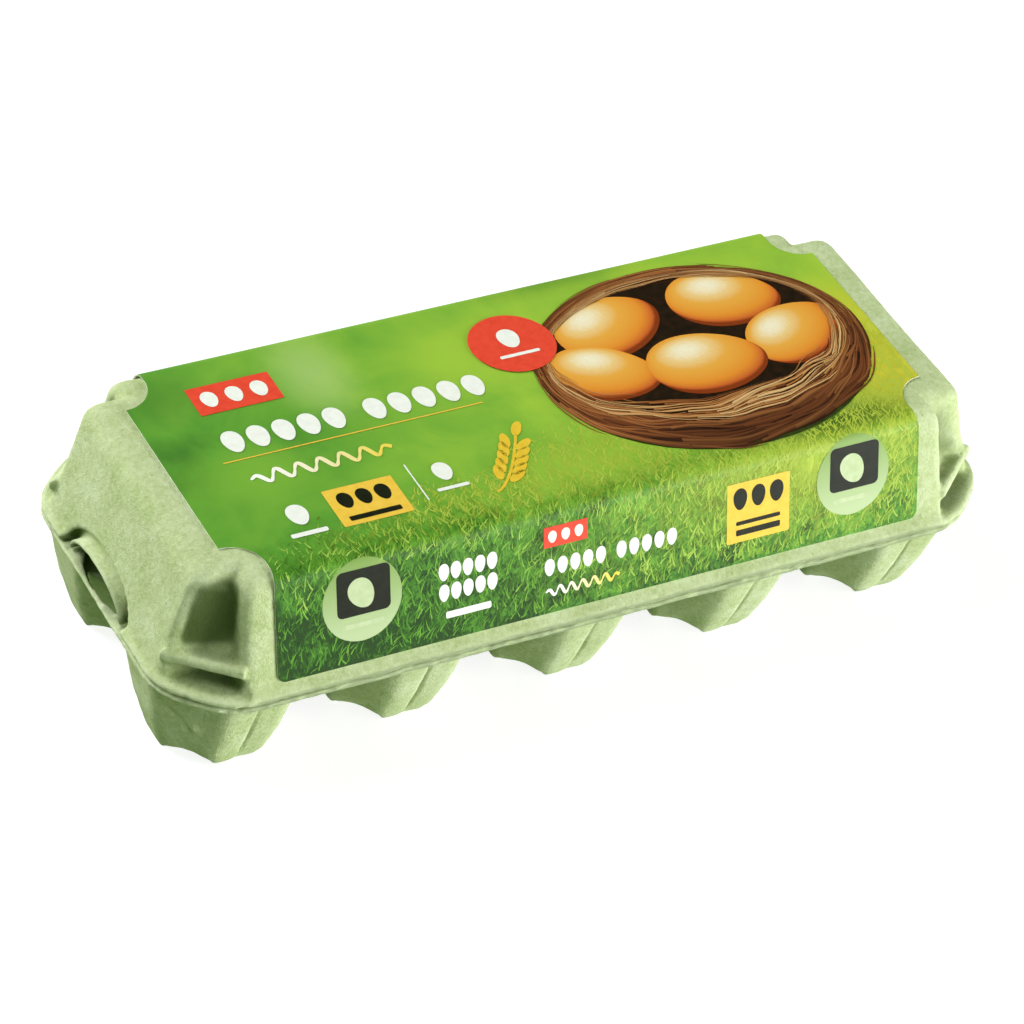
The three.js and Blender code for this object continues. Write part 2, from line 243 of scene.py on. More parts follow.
@dataclass(frozen=True)
class MouldedPulp:
    """Recycled paper pulp, moulded wet and dried: dead matt, mottled, with fibres and dark flecks, and
    painted shade in its hollows and a painted highlight on its ridges.
    """

    name: str = "Moulded green paper pulp"
    light: str = "#d4dfbb"
    middle: str = "#c1cd9b"
    deep: str = "#a7b97c"
    # painted shade for hollows and for shut-in places, and a painted highlight for ridges
    hollow: str = "#5d7233"
    shade: str = "#4c5e2a"
    painted_ridge_highlight: str = "#dbe5c2"
    fleck: str = "#7d9150"
    roughness: float = 0.94
    mottle_mm: float = 11.0
    clump_mm: float = 1.5
    # real fibres are a few hundredths of a millimetre; these are coarser so that they show
    fibre_mm: float = 0.5
    relief_mm: float = 0.26
    fleck_cell_mm: float = 2.4
    fleck_share: float = 0.22

    def build(self) -> Material:
        """Makes the material from object coordinates and the shell's own facts about its points, which set
        its painted shade and highlight.

        Returns:
            The material.
        """
        material, tree, shader = new_material(self.name, self.roughness, MATT_SPECULAR)
        place = add_node(tree, "TexCoord").outputs["Object"]
        mottle, clump, fibre = (
            add_node(tree, "TexNoise", {"Vector": place, "Scale": 1 / (size * MM), **more})
            for size, more in ((self.mottle_mm, {"Detail": 5.0}),
                               (self.clump_mm, {"Detail": 3.0, "Roughness": 0.6}),
                               (self.fibre_mm, {"Detail": 2.0, "Distortion": 1.2})))
        both = add_node(tree, "Math", {0: mottle, 1: clump}, operation="ADD")
        three = add_node(tree, "Math", {0: fibre, 1: 0.6, 2: both}, operation="MULTIPLY_ADD")
        spread = add_node(tree, "MapRange", {"Value": three, "From Min": 0.9, "From Max": 1.7})
        tone = add_node(tree, "ValToRGB", {0: spread},
                        stops=((0.0, self.deep), (0.5, self.middle), (1.0, self.light)))
        depth, seen = (add_node(tree, "Attribute", attribute_name=name).outputs["Fac"]
                       for name in ("hollow", "open"))
        colour = self._flecks(tree, place, tone)
        # painted shade dims shut-in places and darkens hollows, and a painted highlight makes ridges paler
        for fact, start, end, most, step, tint in (
                (seen, 0.9, 0.45, 0.92, "SMOOTHSTEP", self.shade),
                (depth, 0.07, 0.4, 0.4, "LINEAR", self.hollow),
                (depth, -0.04, -0.3, 0.3, "LINEAR", self.painted_ridge_highlight)):
            amount = add_node(tree, "MapRange", {"Value": fact, "From Min": start, "From Max": end,
                                                 "To Max": most}, interpolation_type=step)
            colour = add_node(tree, "Mix", {0: amount, 6: colour, 7: linear(tint)},
                              data_type="RGBA").outputs[2]
        tree.links.new(colour, shader.inputs["Base Color"])
        rough = add_node(tree, "Math", {0: clump, 1: fibre}, operation="ADD")
        bump = add_node(tree, "Bump", {"Height": rough, "Strength": 0.9, "Distance": self.relief_mm * MM})
        tree.links.new(bump.outputs[0], shader.inputs["Normal"])
        return material

    def _flecks(self, tree: NodeTree, place: NodeSocket, colour: Node) -> NodeSocket:
        """Adds a few darker flecks, one in some of the cells of a Voronoi pattern.

        Args:
            tree: the material's tree.
            place: the object coordinates.
            colour: the node of the colour beneath.

        Returns:
            The socket of the new colour.
        """
        cells = add_node(tree, "TexVoronoi", {"Vector": place, "Scale": 1 / (self.fleck_cell_mm * MM)})
        chance = add_node(tree, "SeparateXYZ", {0: cells.outputs["Color"]})
        some = add_node(tree, "Math", {0: chance, 1: 1 - self.fleck_share}, operation="GREATER_THAN")
        spots = add_node(tree, "MapRange", {"Value": cells.outputs["Distance"], "From Min": 0.06,
                                            "From Max": 0.2, "To Min": 0.5, "To Max": 0.0})
        amount = add_node(tree, "Math", {0: some, 1: spots}, operation="MULTIPLY")
        return add_node(tree, "Mix", {0: amount, 6: colour, 7: linear(self.fleck)},
                        data_type="RGBA").outputs[2]


@dataclass(frozen=True)
class PrintedMeadow:
    """Offset print on coated label paper, semi-gloss: a blurred green field that turns to grass."""

    name: str = "Printed label paper"
    span_mm: float = 220.0
    gloss_roughness: float = 0.46
    dark: str = "#3f7426"
    far: str = "#5c9a33"
    middle: str = "#7db03a"
    bright: str = "#a3c740"
    sun: str = "#bcd38c"
    grass_dark: str = "#1f400d"
    grass_deep: str = "#4a8424"
    grass_mid: str = "#70a838"
    grass_light: str = "#a6ca52"
    warm: str = "#dccb38"

    def build(self) -> Material:
        """Makes the material from the sheet's own UV map, which measures the unrolled sheet.

        Returns:
            The material.
        """
        material, tree, shader = new_material(self.name, self.gloss_roughness, PAPER_SPECULAR)
        sheet = add_node(tree, "UVMap", uv_map="print").outputs[0]
        place = add_node(tree, "VectorMath", {0: sheet, 1: (self.span_mm,) * 3,
                                              2: (-self.span_mm / 2,) * 3}, operation="MULTIPLY_ADD")
        parts = add_node(tree, "SeparateXYZ", {0: place})
        field = self._field(tree, place, parts)
        grass = self._grass(tree, place, parts)
        slant = add_node(tree, "Math", {0: parts, 1: -0.17, 2: parts.outputs[1]},
                         operation="MULTIPLY_ADD")
        ragged = add_node(tree, "TexNoise", {"Vector": place, "Scale": 0.12, "Detail": 4.0})
        edge = add_node(tree, "Math", {0: ragged, 1: 16.0, 2: slant}, operation="MULTIPLY_ADD")
        near = add_node(tree, "MapRange", {"Value": edge, "From Min": -2.0, "From Max": -34.0},
                        interpolation_type="SMOOTHSTEP")
        whole = add_node(tree, "Mix", {0: near, 6: field, 7: grass}, data_type="RGBA")
        tree.links.new(whole.outputs[2], shader.inputs["Base Color"])
        return material

    @staticmethod
    def _tint(tree: NodeTree, place: Node, colour: Node, spots: Sequence[tuple]) -> NodeSocket:
        """Lays soft spots of other tones over a colour.

        Args:
            tree: the material's tree.
            place: the node that gives places on the sheet, in millimetres.
            colour: the node of the colour beneath.
            spots: for each spot its centre, its radii, its tone and its strength.

        Returns:
            The socket of the new colour.
        """
        for centre, radius, tint, strength in spots:
            away = add_node(tree, "VectorMath", {0: place, 1: (*centre, 0.0)}, operation="SUBTRACT")
            scaled = add_node(tree, "VectorMath", {0: away, 1: (1 / radius[0], 1 / radius[1], 0.0)},
                              operation="MULTIPLY")
            length = add_node(tree, "VectorMath", {0: scaled}, operation="LENGTH")
            amount = add_node(tree, "MapRange",
                              {"Value": length.outputs["Value"], "From Min": 1.0, "From Max": 0.0,
                               "To Max": strength}, interpolation_type="SMOOTHSTEP")
            colour = add_node(tree, "Mix", {0: amount, 6: colour, 7: linear(tint)},
                              data_type="RGBA").outputs[2]
        return colour

    def _field(self, tree: NodeTree, place: Node, parts: Node) -> NodeSocket:
        """Gives the colour of the blurred far field.

        Args:
            tree: the material's tree.
            place: the node that gives places on the sheet, in millimetres.
            parts: the node that splits them into u and v.

        Returns:
            The socket of the colour.
        """
        blur = add_node(tree, "TexNoise", {"Vector": place, "Scale": 0.04, "Detail": 4.0,
                                           "Roughness": 0.55, "Distortion": 0.4})
        across = add_node(tree, "MapRange", {"Value": parts, "From Min": -115.0, "From Max": 15.0})
        share = add_node(tree, "Math", {0: blur, 1: 1.5, 2: across}, operation="MULTIPLY_ADD")
        even = add_node(tree, "MapRange", {"Value": share, "From Min": 0.45, "From Max": 1.95})
        tone = add_node(tree, "ValToRGB", {0: even}, stops=((0.0, self.dark), (0.28, self.far),
                                                            (0.6, self.middle), (1.0, self.bright)))
        return self._tint(tree, place, tone, (
            ((-52.0, 27.0), (16.0, 26.0), self.sun, 0.45),
            ((-14.0, 20.0), (22.0, 22.0), self.bright, 0.75),
            ((-34.0, 2.0), (26.0, 10.0), self.middle, 0.5),
            ((-84.0, -8.0), (30.0, 20.0), self.middle, 0.8),
            ((-96.0, 30.0), (20.0, 16.0), self.dark, 0.5),
            ((30.0, 44.0), (40.0, 10.0), self.dark, 0.6),
            ((101.0, -16.0), (27.0, 44.0), self.warm, 1.0),
        ))

    def _grass(self, tree: NodeTree, place: Node, parts: Node) -> NodeSocket:
        """Gives the colour of the near grass: tufts, blades and dark gaps.

        Args:
            tree: the material's tree.
            place: the node that gives places on the sheet, in millimetres.
            parts: the node that splits them into u and v.

        Returns:
            The socket of the colour.
        """
        upright = add_node(tree, "Mapping", {"Vector": place, "Scale": (1.0, 0.6, 1.0)})
        blades = add_node(tree, "TexNoise", {"Vector": upright, "Scale": 0.75, "Detail": 4.0,
                                             "Roughness": 0.65, "Distortion": 1.2})
        tufts = add_node(tree, "TexNoise", {"Vector": place, "Scale": 0.13, "Detail": 3.0})
        both = add_node(tree, "Math", {0: blades, 1: 1.25, 2: tufts}, operation="MULTIPLY_ADD")
        down = add_node(tree, "MapRange", {"Value": parts.outputs[1], "From Min": -36.0,
                                           "From Max": -74.0, "To Max": -0.34})
        left = add_node(tree, "MapRange", {"Value": parts, "From Min": -95.0, "From Max": 70.0,
                                           "To Min": -0.14, "To Max": 0.24})
        shade = add_node(tree, "Math", {0: down, 1: left}, operation="ADD")
        total = add_node(tree, "Math", {0: both, 1: shade}, operation="ADD")
        even = add_node(tree, "MapRange", {"Value": total, "From Min": 0.72, "From Max": 1.6})
        ramp = add_node(tree, "ValToRGB", {0: even},
                        stops=((0.05, self.grass_dark), (0.35, self.grass_deep), (0.62, self.grass_mid),
                               (0.95, self.grass_light)))
        return self._tint(tree, place, ramp, (
            ((98.0, -24.0), (30.0, 26.0), self.warm, 0.85),
            ((60.0, -50.0), (60.0, 22.0), self.warm, 0.3),
            ((72.0, -38.0), (36.0, 9.0), self.grass_dark, 0.75),
            ((0.0, -30.0), (60.0, 18.0), self.bright, 0.8),
        ))


@dataclass(frozen=True)
class Ink:
    """A solid printed colour on the label: even, with the paper's slight unevenness."""

    name: str
    colour: str
    shade: str
    roughness: float = 0.36

    def build(self) -> Material:
        """Makes the material from object coordinates.

        Returns:
            The material.
        """
        material, tree, shader = new_material(self.name, self.roughness, INK_SPECULAR)
        place = add_node(tree, "TexCoord").outputs["Object"]
        grain = add_node(tree, "TexNoise", {"Vector": place, "Scale": 1 / (2.2 * MM), "Detail": 4.0})
        tone = add_node(tree, "ValToRGB", {0: grain}, stops=((0.3, self.shade), (0.7, self.colour)))
        tree.links.new(tone.outputs[0], shader.inputs["Base Color"])
        return material


@dataclass(frozen=True)
class FadingInk:
    """A printed colour that runs from one tone to another across each shape's own UV map."""

    name: str
    start: str
    end: str
    upright: bool = False
    roughness: float = 0.36

    def build(self) -> Material:
        """Makes the material from the piece's UV map.

        Returns:
            The material.
        """
        material, tree, shader = new_material(self.name, self.roughness, INK_SPECULAR)
        parts = add_node(tree, "SeparateXYZ", {0: add_node(tree, "UVMap", uv_map="print").outputs[0]})
        tone = add_node(tree, "ValToRGB", {0: parts.outputs[1 if self.upright else 0]},
                        stops=((0.1, self.start), (0.9, self.end)))
        tree.links.new(tone.outputs[0], shader.inputs["Base Color"])
        return material


@dataclass(frozen=True)
class PrintedEgg:
    """A picture of a brown egg in print: pale where the light falls, orange, then brown at its foot."""

    name: str = "Printed egg"
    glow: str = "#f6ead0"
    light: str = "#eecb8c"
    body: str = "#eaa945"
    warm: str = "#e6902f"
    low: str = "#cc6129"
    edge: str = "#84350f"
    roughness: float = 0.44

    def build(self) -> Material:
        """Makes the material from each egg's UV map, which spans the egg from 0 to 1.

        The picture is lit as a ball would be, from its upper left.

        Returns:
            The material.
        """
        material, tree, shader = new_material(self.name, self.roughness, PAPER_SPECULAR)
        uv = add_node(tree, "UVMap", uv_map="print").outputs[0]
        flat = add_node(tree, "VectorMath", {0: uv, 1: (2.0, 2.0, 0.0), 2: (-1.0, -1.0, 0.0)},
                        operation="MULTIPLY_ADD")
        square = add_node(tree, "VectorMath", {0: flat, 1: flat}, operation="DOT_PRODUCT")
        rest = add_node(tree, "Math", {0: 1.0, 1: square.outputs["Value"]}, operation="SUBTRACT")
        floor = add_node(tree, "Math", {0: rest, 1: 0.0}, operation="MAXIMUM")
        height = add_node(tree, "Math", {0: floor, 1: 0.5}, operation="POWER")
        slope = add_node(tree, "VectorMath", {0: flat, 1: (-0.22, 0.5, 0.0)}, operation="DOT_PRODUCT")
        lit = add_node(tree, "Math", {0: height, 1: 0.8, 2: slope.outputs["Value"]},
                       operation="MULTIPLY_ADD")
        grain = add_node(tree, "TexNoise", {"Vector": uv, "Scale": 26.0, "Detail": 3.0})
        speck = add_node(tree, "Math", {0: grain, 1: 0.06, 2: lit}, operation="MULTIPLY_ADD")
        tone = add_node(tree, "ValToRGB", {0: speck},
                        stops=((0.0, self.edge), (0.12, self.low), (0.4, self.warm), (0.78, self.body),
                               (0.92, self.light), (1.0, self.glow)))
        tree.links.new(tone.outputs[0], shader.inputs["Base Color"])
        return material


@dataclass(frozen=True)
class PrintedStrands:
    """Printed twigs or blades of grass: each strand has its own tone, darker along one side."""

    name: str
    hollow: str
    far_tone: str
    stops: tuple[tuple[float, str], ...]
    roughness: float = 0.46

    def build(self) -> Material:
        """Makes the material from the strands' own attributes.

        Returns:
            The material.
        """
        material, tree, shader = new_material(self.name, self.roughness, PAPER_SPECULAR)
        tint, across, turn = (add_node(tree, "Attribute", attribute_name=name).outputs["Fac"]
                              for name in ("tint", "across", "tone"))
        tone = add_node(tree, "ValToRGB", {0: tint}, stops=self.stops)
        side = add_node(tree, "MapRange", {"Value": across, "From Min": 0.1, "From Max": -1.0,
                                           "To Min": 0.0, "To Max": 0.65})
        round_off = add_node(tree, "Mix", {0: side, 6: tone, 7: linear(self.hollow)}, data_type="RGBA")
        whole = add_node(tree, "Mix", {0: turn, 6: round_off.outputs[2], 7: linear(self.far_tone)},
                         data_type="RGBA")
        tree.links.new(whole.outputs[2], shader.inputs["Base Color"])
        return material


# Pulp


@dataclass(frozen=True)
class SoftEdge:
    """A soft edge: how far before its line it starts, and how wide it is, in millimetres."""

    before: float
    width: float

    def rise(self, past: np.ndarray) -> np.ndarray:
        """Gives the share from 0 to 1 that each place has reached.

        Args:
            past: how far each place lies past the edge's line.

        Returns:
            The shares.
        """
        return ease((past + self.before) / self.width)


@dataclass
class Dent:
    """A small round hollow, or a bump where depth is negative, left in the pulp by its mould."""

    x: float
    y: float
    z: float
    radius: float
    depth: float


@dataclass
class PulpShell:
    """Tray or lid: the node's solid with the soft edges and the unevenness of dried pulp."""

    node: str
    name: str
    merge_mm: float = 0.002
    voxel_mm: float = 0.6
    quick_voxels: float = 1.8
    smooth_rounds: int = 3
    hollow_rounds: int = 14
    open_rounds: int = 14
    # below soft_z the edges are rounder, as on the feet of the cups
    soft_z: float = 0.0
    soft_fade: float = 4.0
    soft_rounds: int = 7
    swell_mm: float = 0.28
    swell_length_mm: float = 26.0
    lump_mm: float = 0.10
    lump_length_mm: float = 3.0
    # how far the glued label presses the pulp flat
    label_press_mm: float = 0.12
    # the ragged lips start this far out, along and across
    lip_start: tuple[float, float] = (116.0, 49.0)
    lip_reach_mm: float = 2.0
    lip_mm: float = 0.55
    lip_length_mm: float = 9.0
    burr_mm: float = 0.42
    burr_length_mm: float = 1.7
    # the painted shade is kept off the lips, in patches, this near to where they meet
    lip_open: float = 0.78
    lip_open_mm: float = 1.6
    patch_open: float = 0.2
    patch_length_mm: float = 2.4
    most_triangles: int = 195_000
    dents: tuple[Dent, ...] = ()

    def build(self, source: Object, solids: BVHTree, finish: Material) -> Object:
        """Builds the shell from the node's solid.

        Args:
            source: the node's own object.
            solids: the tray and the lid, which shade each other.
            finish: the pulp material.

        Returns:
            The finished piece, which stands for the node.
        """
        piece = self._remeshed(source)
        self._sculpt(piece.data, solids)
        self._thin(piece)
        piece.data.polygons.foreach_set("use_smooth", [True] * len(piece.data.polygons))
        piece.data.materials.clear()
        piece.data.materials.append(finish)
        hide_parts(self.node)
        return settle(piece)

    def _remeshed(self, source: Object) -> Object:
        """Copies the node's mesh, merges its loose triangles and remeshes it in small even faces.

        Args:
            source: the node's own object.

        Returns:
            The new piece.
        """
        piece = bpy.data.objects.new(self.name, source.data.copy())
        bpy.context.scene.collection.objects.link(piece)
        weld = piece.modifiers.new("weld", "WELD")
        weld.merge_threshold = self.merge_mm * MM
        remesh = piece.modifiers.new("remesh", "REMESH")
        remesh.mode = "VOXEL"
        remesh.voxel_size = self.voxel_mm * MM * 1.0
        return applied(piece)

    def _sculpt(self, mesh: Mesh, solids: BVHTree) -> None:
        """Rounds, shapes and roughens the mesh, and stores how hollow and how open its points lie, for the
        painted shade and highlight.

        Args:
            mesh: the remeshed solid.
            solids: the tray and the lid, which shade each other.
        """
        flat = np.empty(len(mesh.edges) * 2, dtype=np.int32)
        mesh.edges.foreach_get("vertices", flat)
        ends = flat.reshape(-1, 2)
        points = relaxed(points_of(mesh) / MM, ends, self.smooth_rounds)
        seen = openness(points, self._move(mesh, points), solids)
        seen = self._shade(points, relaxed(seen[:, None], ends, self.open_rounds)[:, 0])
        points = self._shaped(points)
        if self.soft_z:
            low = ease((self.soft_z - points[:, 2:]) / self.soft_fade)
            points += (relaxed(points, ends, self.soft_rounds) - points) * low
        normals = self._move(mesh, points)
        wide = relaxed(points, ends, self.hollow_rounds)
        hollow = ((wide - points) * normals).sum(axis=1)
        for name, fact in (("hollow", hollow), ("open", seen)):
            mesh.attributes.new(name, "FLOAT", "POINT").data.foreach_set("value", fact.astype(np.float32))
        points += self._relief(points, normals)
        points[:, 2] = np.maximum(points[:, 2], 0)
        self._move(mesh, points)

    def _shaped(self, place: np.ndarray) -> np.ndarray:
        """Gives the points moved into the piece's own finer shape; here they stay."""
        return place

    def _shade(self, place: np.ndarray, seen: np.ndarray) -> np.ndarray:
        """Gives how open each place looks, which sets its painted shade; the painted shade is kept off the
        lips, in patches, where they meet.
        """
        patches = self.lip_open + self.patch_open * coherent(place * (1, 1, 0) / self.patch_length_mm)
        near = np.exp(-(((place[:, 2] - SIZES.seam) / self.lip_open_mm) ** 2))
        return np.maximum(seen, patches * near)

    @staticmethod
    def _move(mesh: Mesh, place: np.ndarray) -> np.ndarray:
        """Moves the mesh's points.

        Args:
            mesh: the mesh.
            place: the points' new places in millimetres.

        Returns:
            The points' normals there.
        """
        mesh.vertices.foreach_set("co", (place * MM).astype(np.float32).ravel())
        mesh.update()
        normals = np.empty(len(mesh.vertices) * 3, dtype=np.float32)
        mesh.vertex_normals.foreach_get("vector", normals)
        return normals.reshape(-1, 3).astype(np.float64)

    def _relief(self, place: np.ndarray, normals: np.ndarray) -> np.ndarray:
        """Gives each point's move: broad swells, small lumps, a ragged lip and the dents.

        Args:
            place: the points in millimetres.
            normals: their normals.

        Returns:
            The moves in millimetres.
        """
        covered = under_label(place)
        depth = coherent(place / self.swell_length_mm) * self.swell_mm
        depth += coherent(place / self.lump_length_mm) * self.lump_mm
        for dent in self.dents:
            away = np.linalg.norm(place - (dent.x, dent.y, dent.z), axis=1)
            depth -= dent.depth * np.exp(-((away / dent.radius) ** 2))
        near = np.exp(-(((place[:, 2] - SIZES.seam) / self.lip_reach_mm) ** 2))
        outer = sum(np.clip((np.abs(place[:, i]) - start) / 3, 0, 1)
                    for i, start in enumerate(self.lip_start))
        lip = near * np.clip(outer, 0, 1)
        burr = coherent(place / self.burr_length_mm) * self.burr_mm
        depth += lip * burr * (1 - np.abs(normals[:, 2]))
        depth = depth * (1 - covered) - self.label_press_mm * covered
        move = normals * depth[:, None]
        wave = coherent(place * (1, 1, 0) / self.lip_length_mm) * self.lip_mm
        move[:, 2] += lip * (wave + 0.4 * coherent(place * (1, 1, 0) / 2.2) * self.lip_mm)
        # nothing moves below the ground
        move[:, 2] *= np.clip(place[:, 2] / 3.0, 0, 1)
        return move

    def _thin(self, piece: Object) -> None:
        """Brings the mesh under the most triangles that it may have.

        Args:
            piece: the piece.
        """
        triangles = sum(len(face.vertices) - 2 for face in piece.data.polygons)
        if triangles > self.most_triangles:
            fewer = piece.modifiers.new("fewer", "DECIMATE")
            fewer.ratio = self.most_triangles / triangles
            applied(piece)


@dataclass
class NotchedLid(PulpShell):
    """The lid: the back wall of each corner's notch turns a little towards the carton's end and gets
    painted shade.
    """

    wall_y: float = 37.6
    inner_x: float = 103.7
    outer_x: float = 114.7
    low_z: float = 42.5
    high_z: float = 64.5
    slot_z: tuple[float, float] = (32.5, 41.0)
    turn_mm: float = 1.6
    turn_reach_mm: float = 2.6
    # painted shade on each notch's wall, stronger at the left end than at the right
    wall_shade: float = 0.42
    wall_shade_right: float = 0.12
    # how far the painted shade reaches in front of the wall and behind it, and how softly it ends
    shade_reach_mm: tuple[float, float] = (3.4, 2.0)
    shade_inner: SoftEdge = SoftEdge(1.5, 2.5)
    shade_outer: SoftEdge = SoftEdge(3.6, 2.6)
    shade_lean: float = 0.2
    shade_low: SoftEdge = SoftEdge(1.0, 4.0)
    shade_high: SoftEdge = SoftEdge(1.5, 5.0)
    # the slot below each notch's shelf gets less painted shade
    slot_open: float = 0.66
    slot_front: SoftEdge = SoftEdge(4.0, 3.0)
    slot_inner: SoftEdge = SoftEdge(3.7, 2.0)
    slot_low: SoftEdge = SoftEdge(0.0, 1.0)
    slot_high: SoftEdge = SoftEdge(0.0, 1.5)

    def _wall(self, place: np.ndarray, width: float) -> np.ndarray:
        """Tells how near each place lies to a notch's wall.

        Args:
            place: the points in millimetres.
            width: how far from the wall counts as near.

        Returns:
            A share from 0 to 1 for each point.
        """
        along, z = np.abs(place[:, 0]), place[:, 2]
        off = np.abs(place[:, 1] - SIZES.middle_y) - self.wall_y
        near = np.exp(-((off / width) ** 2)) * ease((along - self.inner_x + 2) / 2)
        return near * ease((z - self.low_z) / 3) * ease((self.high_z - z) / 5)

    def _shade(self, place: np.ndarray, seen: np.ndarray) -> np.ndarray:
        """Gives how open each place looks; painted shade darkens each notch's wall, more at the left end,
        and the slot below is kept paler.

        Args:
            place: the points in millimetres.
            seen: how open each one measures.

        Returns:
            A share from 0, shut in, to 1, wide open.
        """
        along, z = np.abs(place[:, 0]), place[:, 2]
        off = np.abs(place[:, 1] - SIZES.middle_y) - self.wall_y
        inside = np.exp(-((off / np.where(off > 0, *self.shade_reach_mm)) ** 2))
        inside *= self.shade_inner.rise(along - self.inner_x)
        inside *= self.shade_outer.rise(self.outer_x - self.shade_lean * (z - self.low_z) - along)
        inside *= self.shade_low.rise(z - self.low_z) * self.shade_high.rise(self.high_z - z)
        slot = self.slot_front.rise(off) * self.slot_inner.rise(along - self.inner_x)
        slot *= self.slot_low.rise(z - self.slot_z[0]) * self.slot_high.rise(self.slot_z[1] - z)
        seen = np.maximum(seen, self.slot_open * slot)
        inside *= np.where(place[:, 0] < 0, self.wall_shade, self.wall_shade_right)
        return super()._shade(place, seen) - inside

    def _shaped(self, place: np.ndarray) -> np.ndarray:
        """Gives the points with the notches' walls turned.

        Args:
            place: the points in millimetres.

        Returns:
            The moved points.
        """
        place = place.copy()
        side = np.sign(place[:, 1] - SIZES.middle_y)
        half = (self.outer_x - self.inner_x) / 2
        share = np.clip((np.abs(place[:, 0]) - self.inner_x - half) / half, -1, 1)
        place[:, 1] -= side * share * self._wall(place, self.turn_reach_mm) * self.turn_mm
        return place


@dataclass
class CupTray(PulpShell):
    """The tray: its cups get the creases down their outer faces and the arches between their feet."""

    soft_z: float = 6.0
    pitch: float = 49.0
    shift: float = -2.0
    row_y: float = 24.9
    foot_half: tuple[float, float] = (16.5, 15.5)
    cup_floor_z: float = 14.0
    face_out: float = 11.0
    face_top: float = 29.6
    arch_mm: float = 1.9
    arch_height: float = 6.0
    crease_mm: float = 0.6
    crease_width: float = 0.45
    step_mm: float = 0.45

    def _shaped(self, place: np.ndarray) -> np.ndarray:
        """Gives the points with the arches, the creases and the small steps beside them.

        Args:
            place: the points in millimetres.

        Returns:
            The moved points.
        """
        place = place.copy()
        column = np.clip(np.round((place[:, 0] - self.shift) / self.pitch), -2, 2)
        along = place[:, 0] - self.shift - column * self.pitch
        side = np.sign(place[:, 1] - SIZES.middle_y)
        out = np.abs(place[:, 1] - SIZES.middle_y) - self.row_y
        a, b = np.abs(along) / self.foot_half[0], np.abs(out) / self.foot_half[1]
        corner = 2 * np.minimum(a, b) / np.maximum(a + b, 1e-6)
        reach = np.maximum(a, b)
        lift = ease((corner - 0.5) / 0.5) * ease((reach - 0.3) / 0.5)
        lift *= np.exp(-((place[:, 2] / self.arch_height) ** 2)) * self.arch_mm
        place[:, 2] += np.where(place[:, 2] < self.cup_floor_z, lift, 0)
        face = (out > self.face_out) & (place[:, 2] < self.face_top)
        crease = self.crease_mm * np.exp(-((along / self.crease_width) ** 2))
        step = self.step_mm * ease(along / 0.5 + 0.5) * ease((8 - along) / 7)
        place[:, 1] -= side * np.where(face, crease + step, 0)
        return place


def ease(share: np.ndarray) -> np.ndarray:
    """Gives a smooth step from 0 to 1."""
    share = np.clip(share, 0, 1)
    return share * share * (3 - 2 * share)


def relaxed(points: np.ndarray, ends: np.ndarray, rounds: int) -> np.ndarray:
    """Moves each point towards the middle of its neighbours.

    Args:
        points: the points, one row each.
        ends: each edge's two points.
        rounds: how often.

    Returns:
        The moved points.
    """
    count = len(points)
    degree = np.maximum(np.bincount(ends.ravel(), minlength=count), 1)
    for _ in range(rounds):
        middle = np.empty_like(points)
        for axis in range(points.shape[1]):
            middle[:, axis] = (np.bincount(ends[:, 0], points[ends[:, 1], axis], count)
                               + np.bincount(ends[:, 1], points[ends[:, 0], axis], count)) / degree
        points = points * 0.4 + middle * 0.6
    return points


def solids_tree(nodes: Iterable[Object]) -> BVHTree:
    """Gathers the nodes' solids into one tree for rays.

    Args:
        nodes: the CAD nodes.

    Returns:
        The tree, in metres.
    """
    vertices, faces = [], []
    for node in nodes:
        first = len(vertices)
        vertices.extend(vertex.co[:] for vertex in node.data.vertices)
        faces.extend(tuple(first + i for i in face.vertices) for face in node.data.polygons)
    return BVHTree.FromPolygons(vertices, faces)


def openness(place: np.ndarray, normals: np.ndarray, solids: BVHTree) -> np.ndarray:
    """Tells how much of the room each place on the pulp sees, by rays from each small patch; the pulp's
    colour turns this into painted shade.

    Args:
        place: points in millimetres.
        normals: their normals.
        solids: what stands in the way.

    Returns:
        A share for each point, from 0, shut in, to 1, wide open.
    """
    cell = np.floor(place / PATCH_MM).astype(np.int64) + 200
    key = ((cell[:, 0] * 512 + cell[:, 1]) * 512 + cell[:, 2]) * 8 + (normals > 0) @ np.array([1, 2, 4])
    _, patch = np.unique(key, return_inverse=True)
    count = np.bincount(patch)
    origin = np.stack([np.bincount(patch, place[:, i]) / count for i in range(3)], axis=1)
    facing = np.stack([np.bincount(patch, normals[:, i]) / count for i in range(3)], axis=1)
    facing /= np.maximum(np.linalg.norm(facing, axis=1, keepdims=True), 1e-9)
    origin = (origin + facing * RAY_START_MM) * MM
    rays = RAYS
    order = np.arange(rays) + 0.5
    radius, turn = np.sqrt(order / rays), order * GOLDEN_TURN
    helper = np.where(np.abs(facing[:, :1]) < 0.7, (1.0, 0.0, 0.0), (0.0, 1.0, 0.0))
    side = np.cross(facing, helper)
    side /= np.linalg.norm(side, axis=1, keepdims=True)
    other = np.cross(facing, side)
    shares = np.empty(len(origin))
    for i, (start, a, b, up) in enumerate(zip(origin.tolist(), side, other, facing)):
        ways = (np.outer(radius * np.cos(turn), a) + np.outer(radius * np.sin(turn), b)
                + np.outer(np.sqrt(1 - radius**2), up))
        hits = sum(solids.ray_cast(start, way, RAY_REACH_M)[0] is not None for way in ways.tolist())
        shares[i] = 1 - hits / rays
    return shares[patch]


def coherent(place: np.ndarray) -> np.ndarray:
    """Gives smooth noise from -1 to 1 at each place, the same on every run."""
    return np.fromiter((noise.noise(p) for p in place.tolist()), dtype=np.float64, count=len(place))


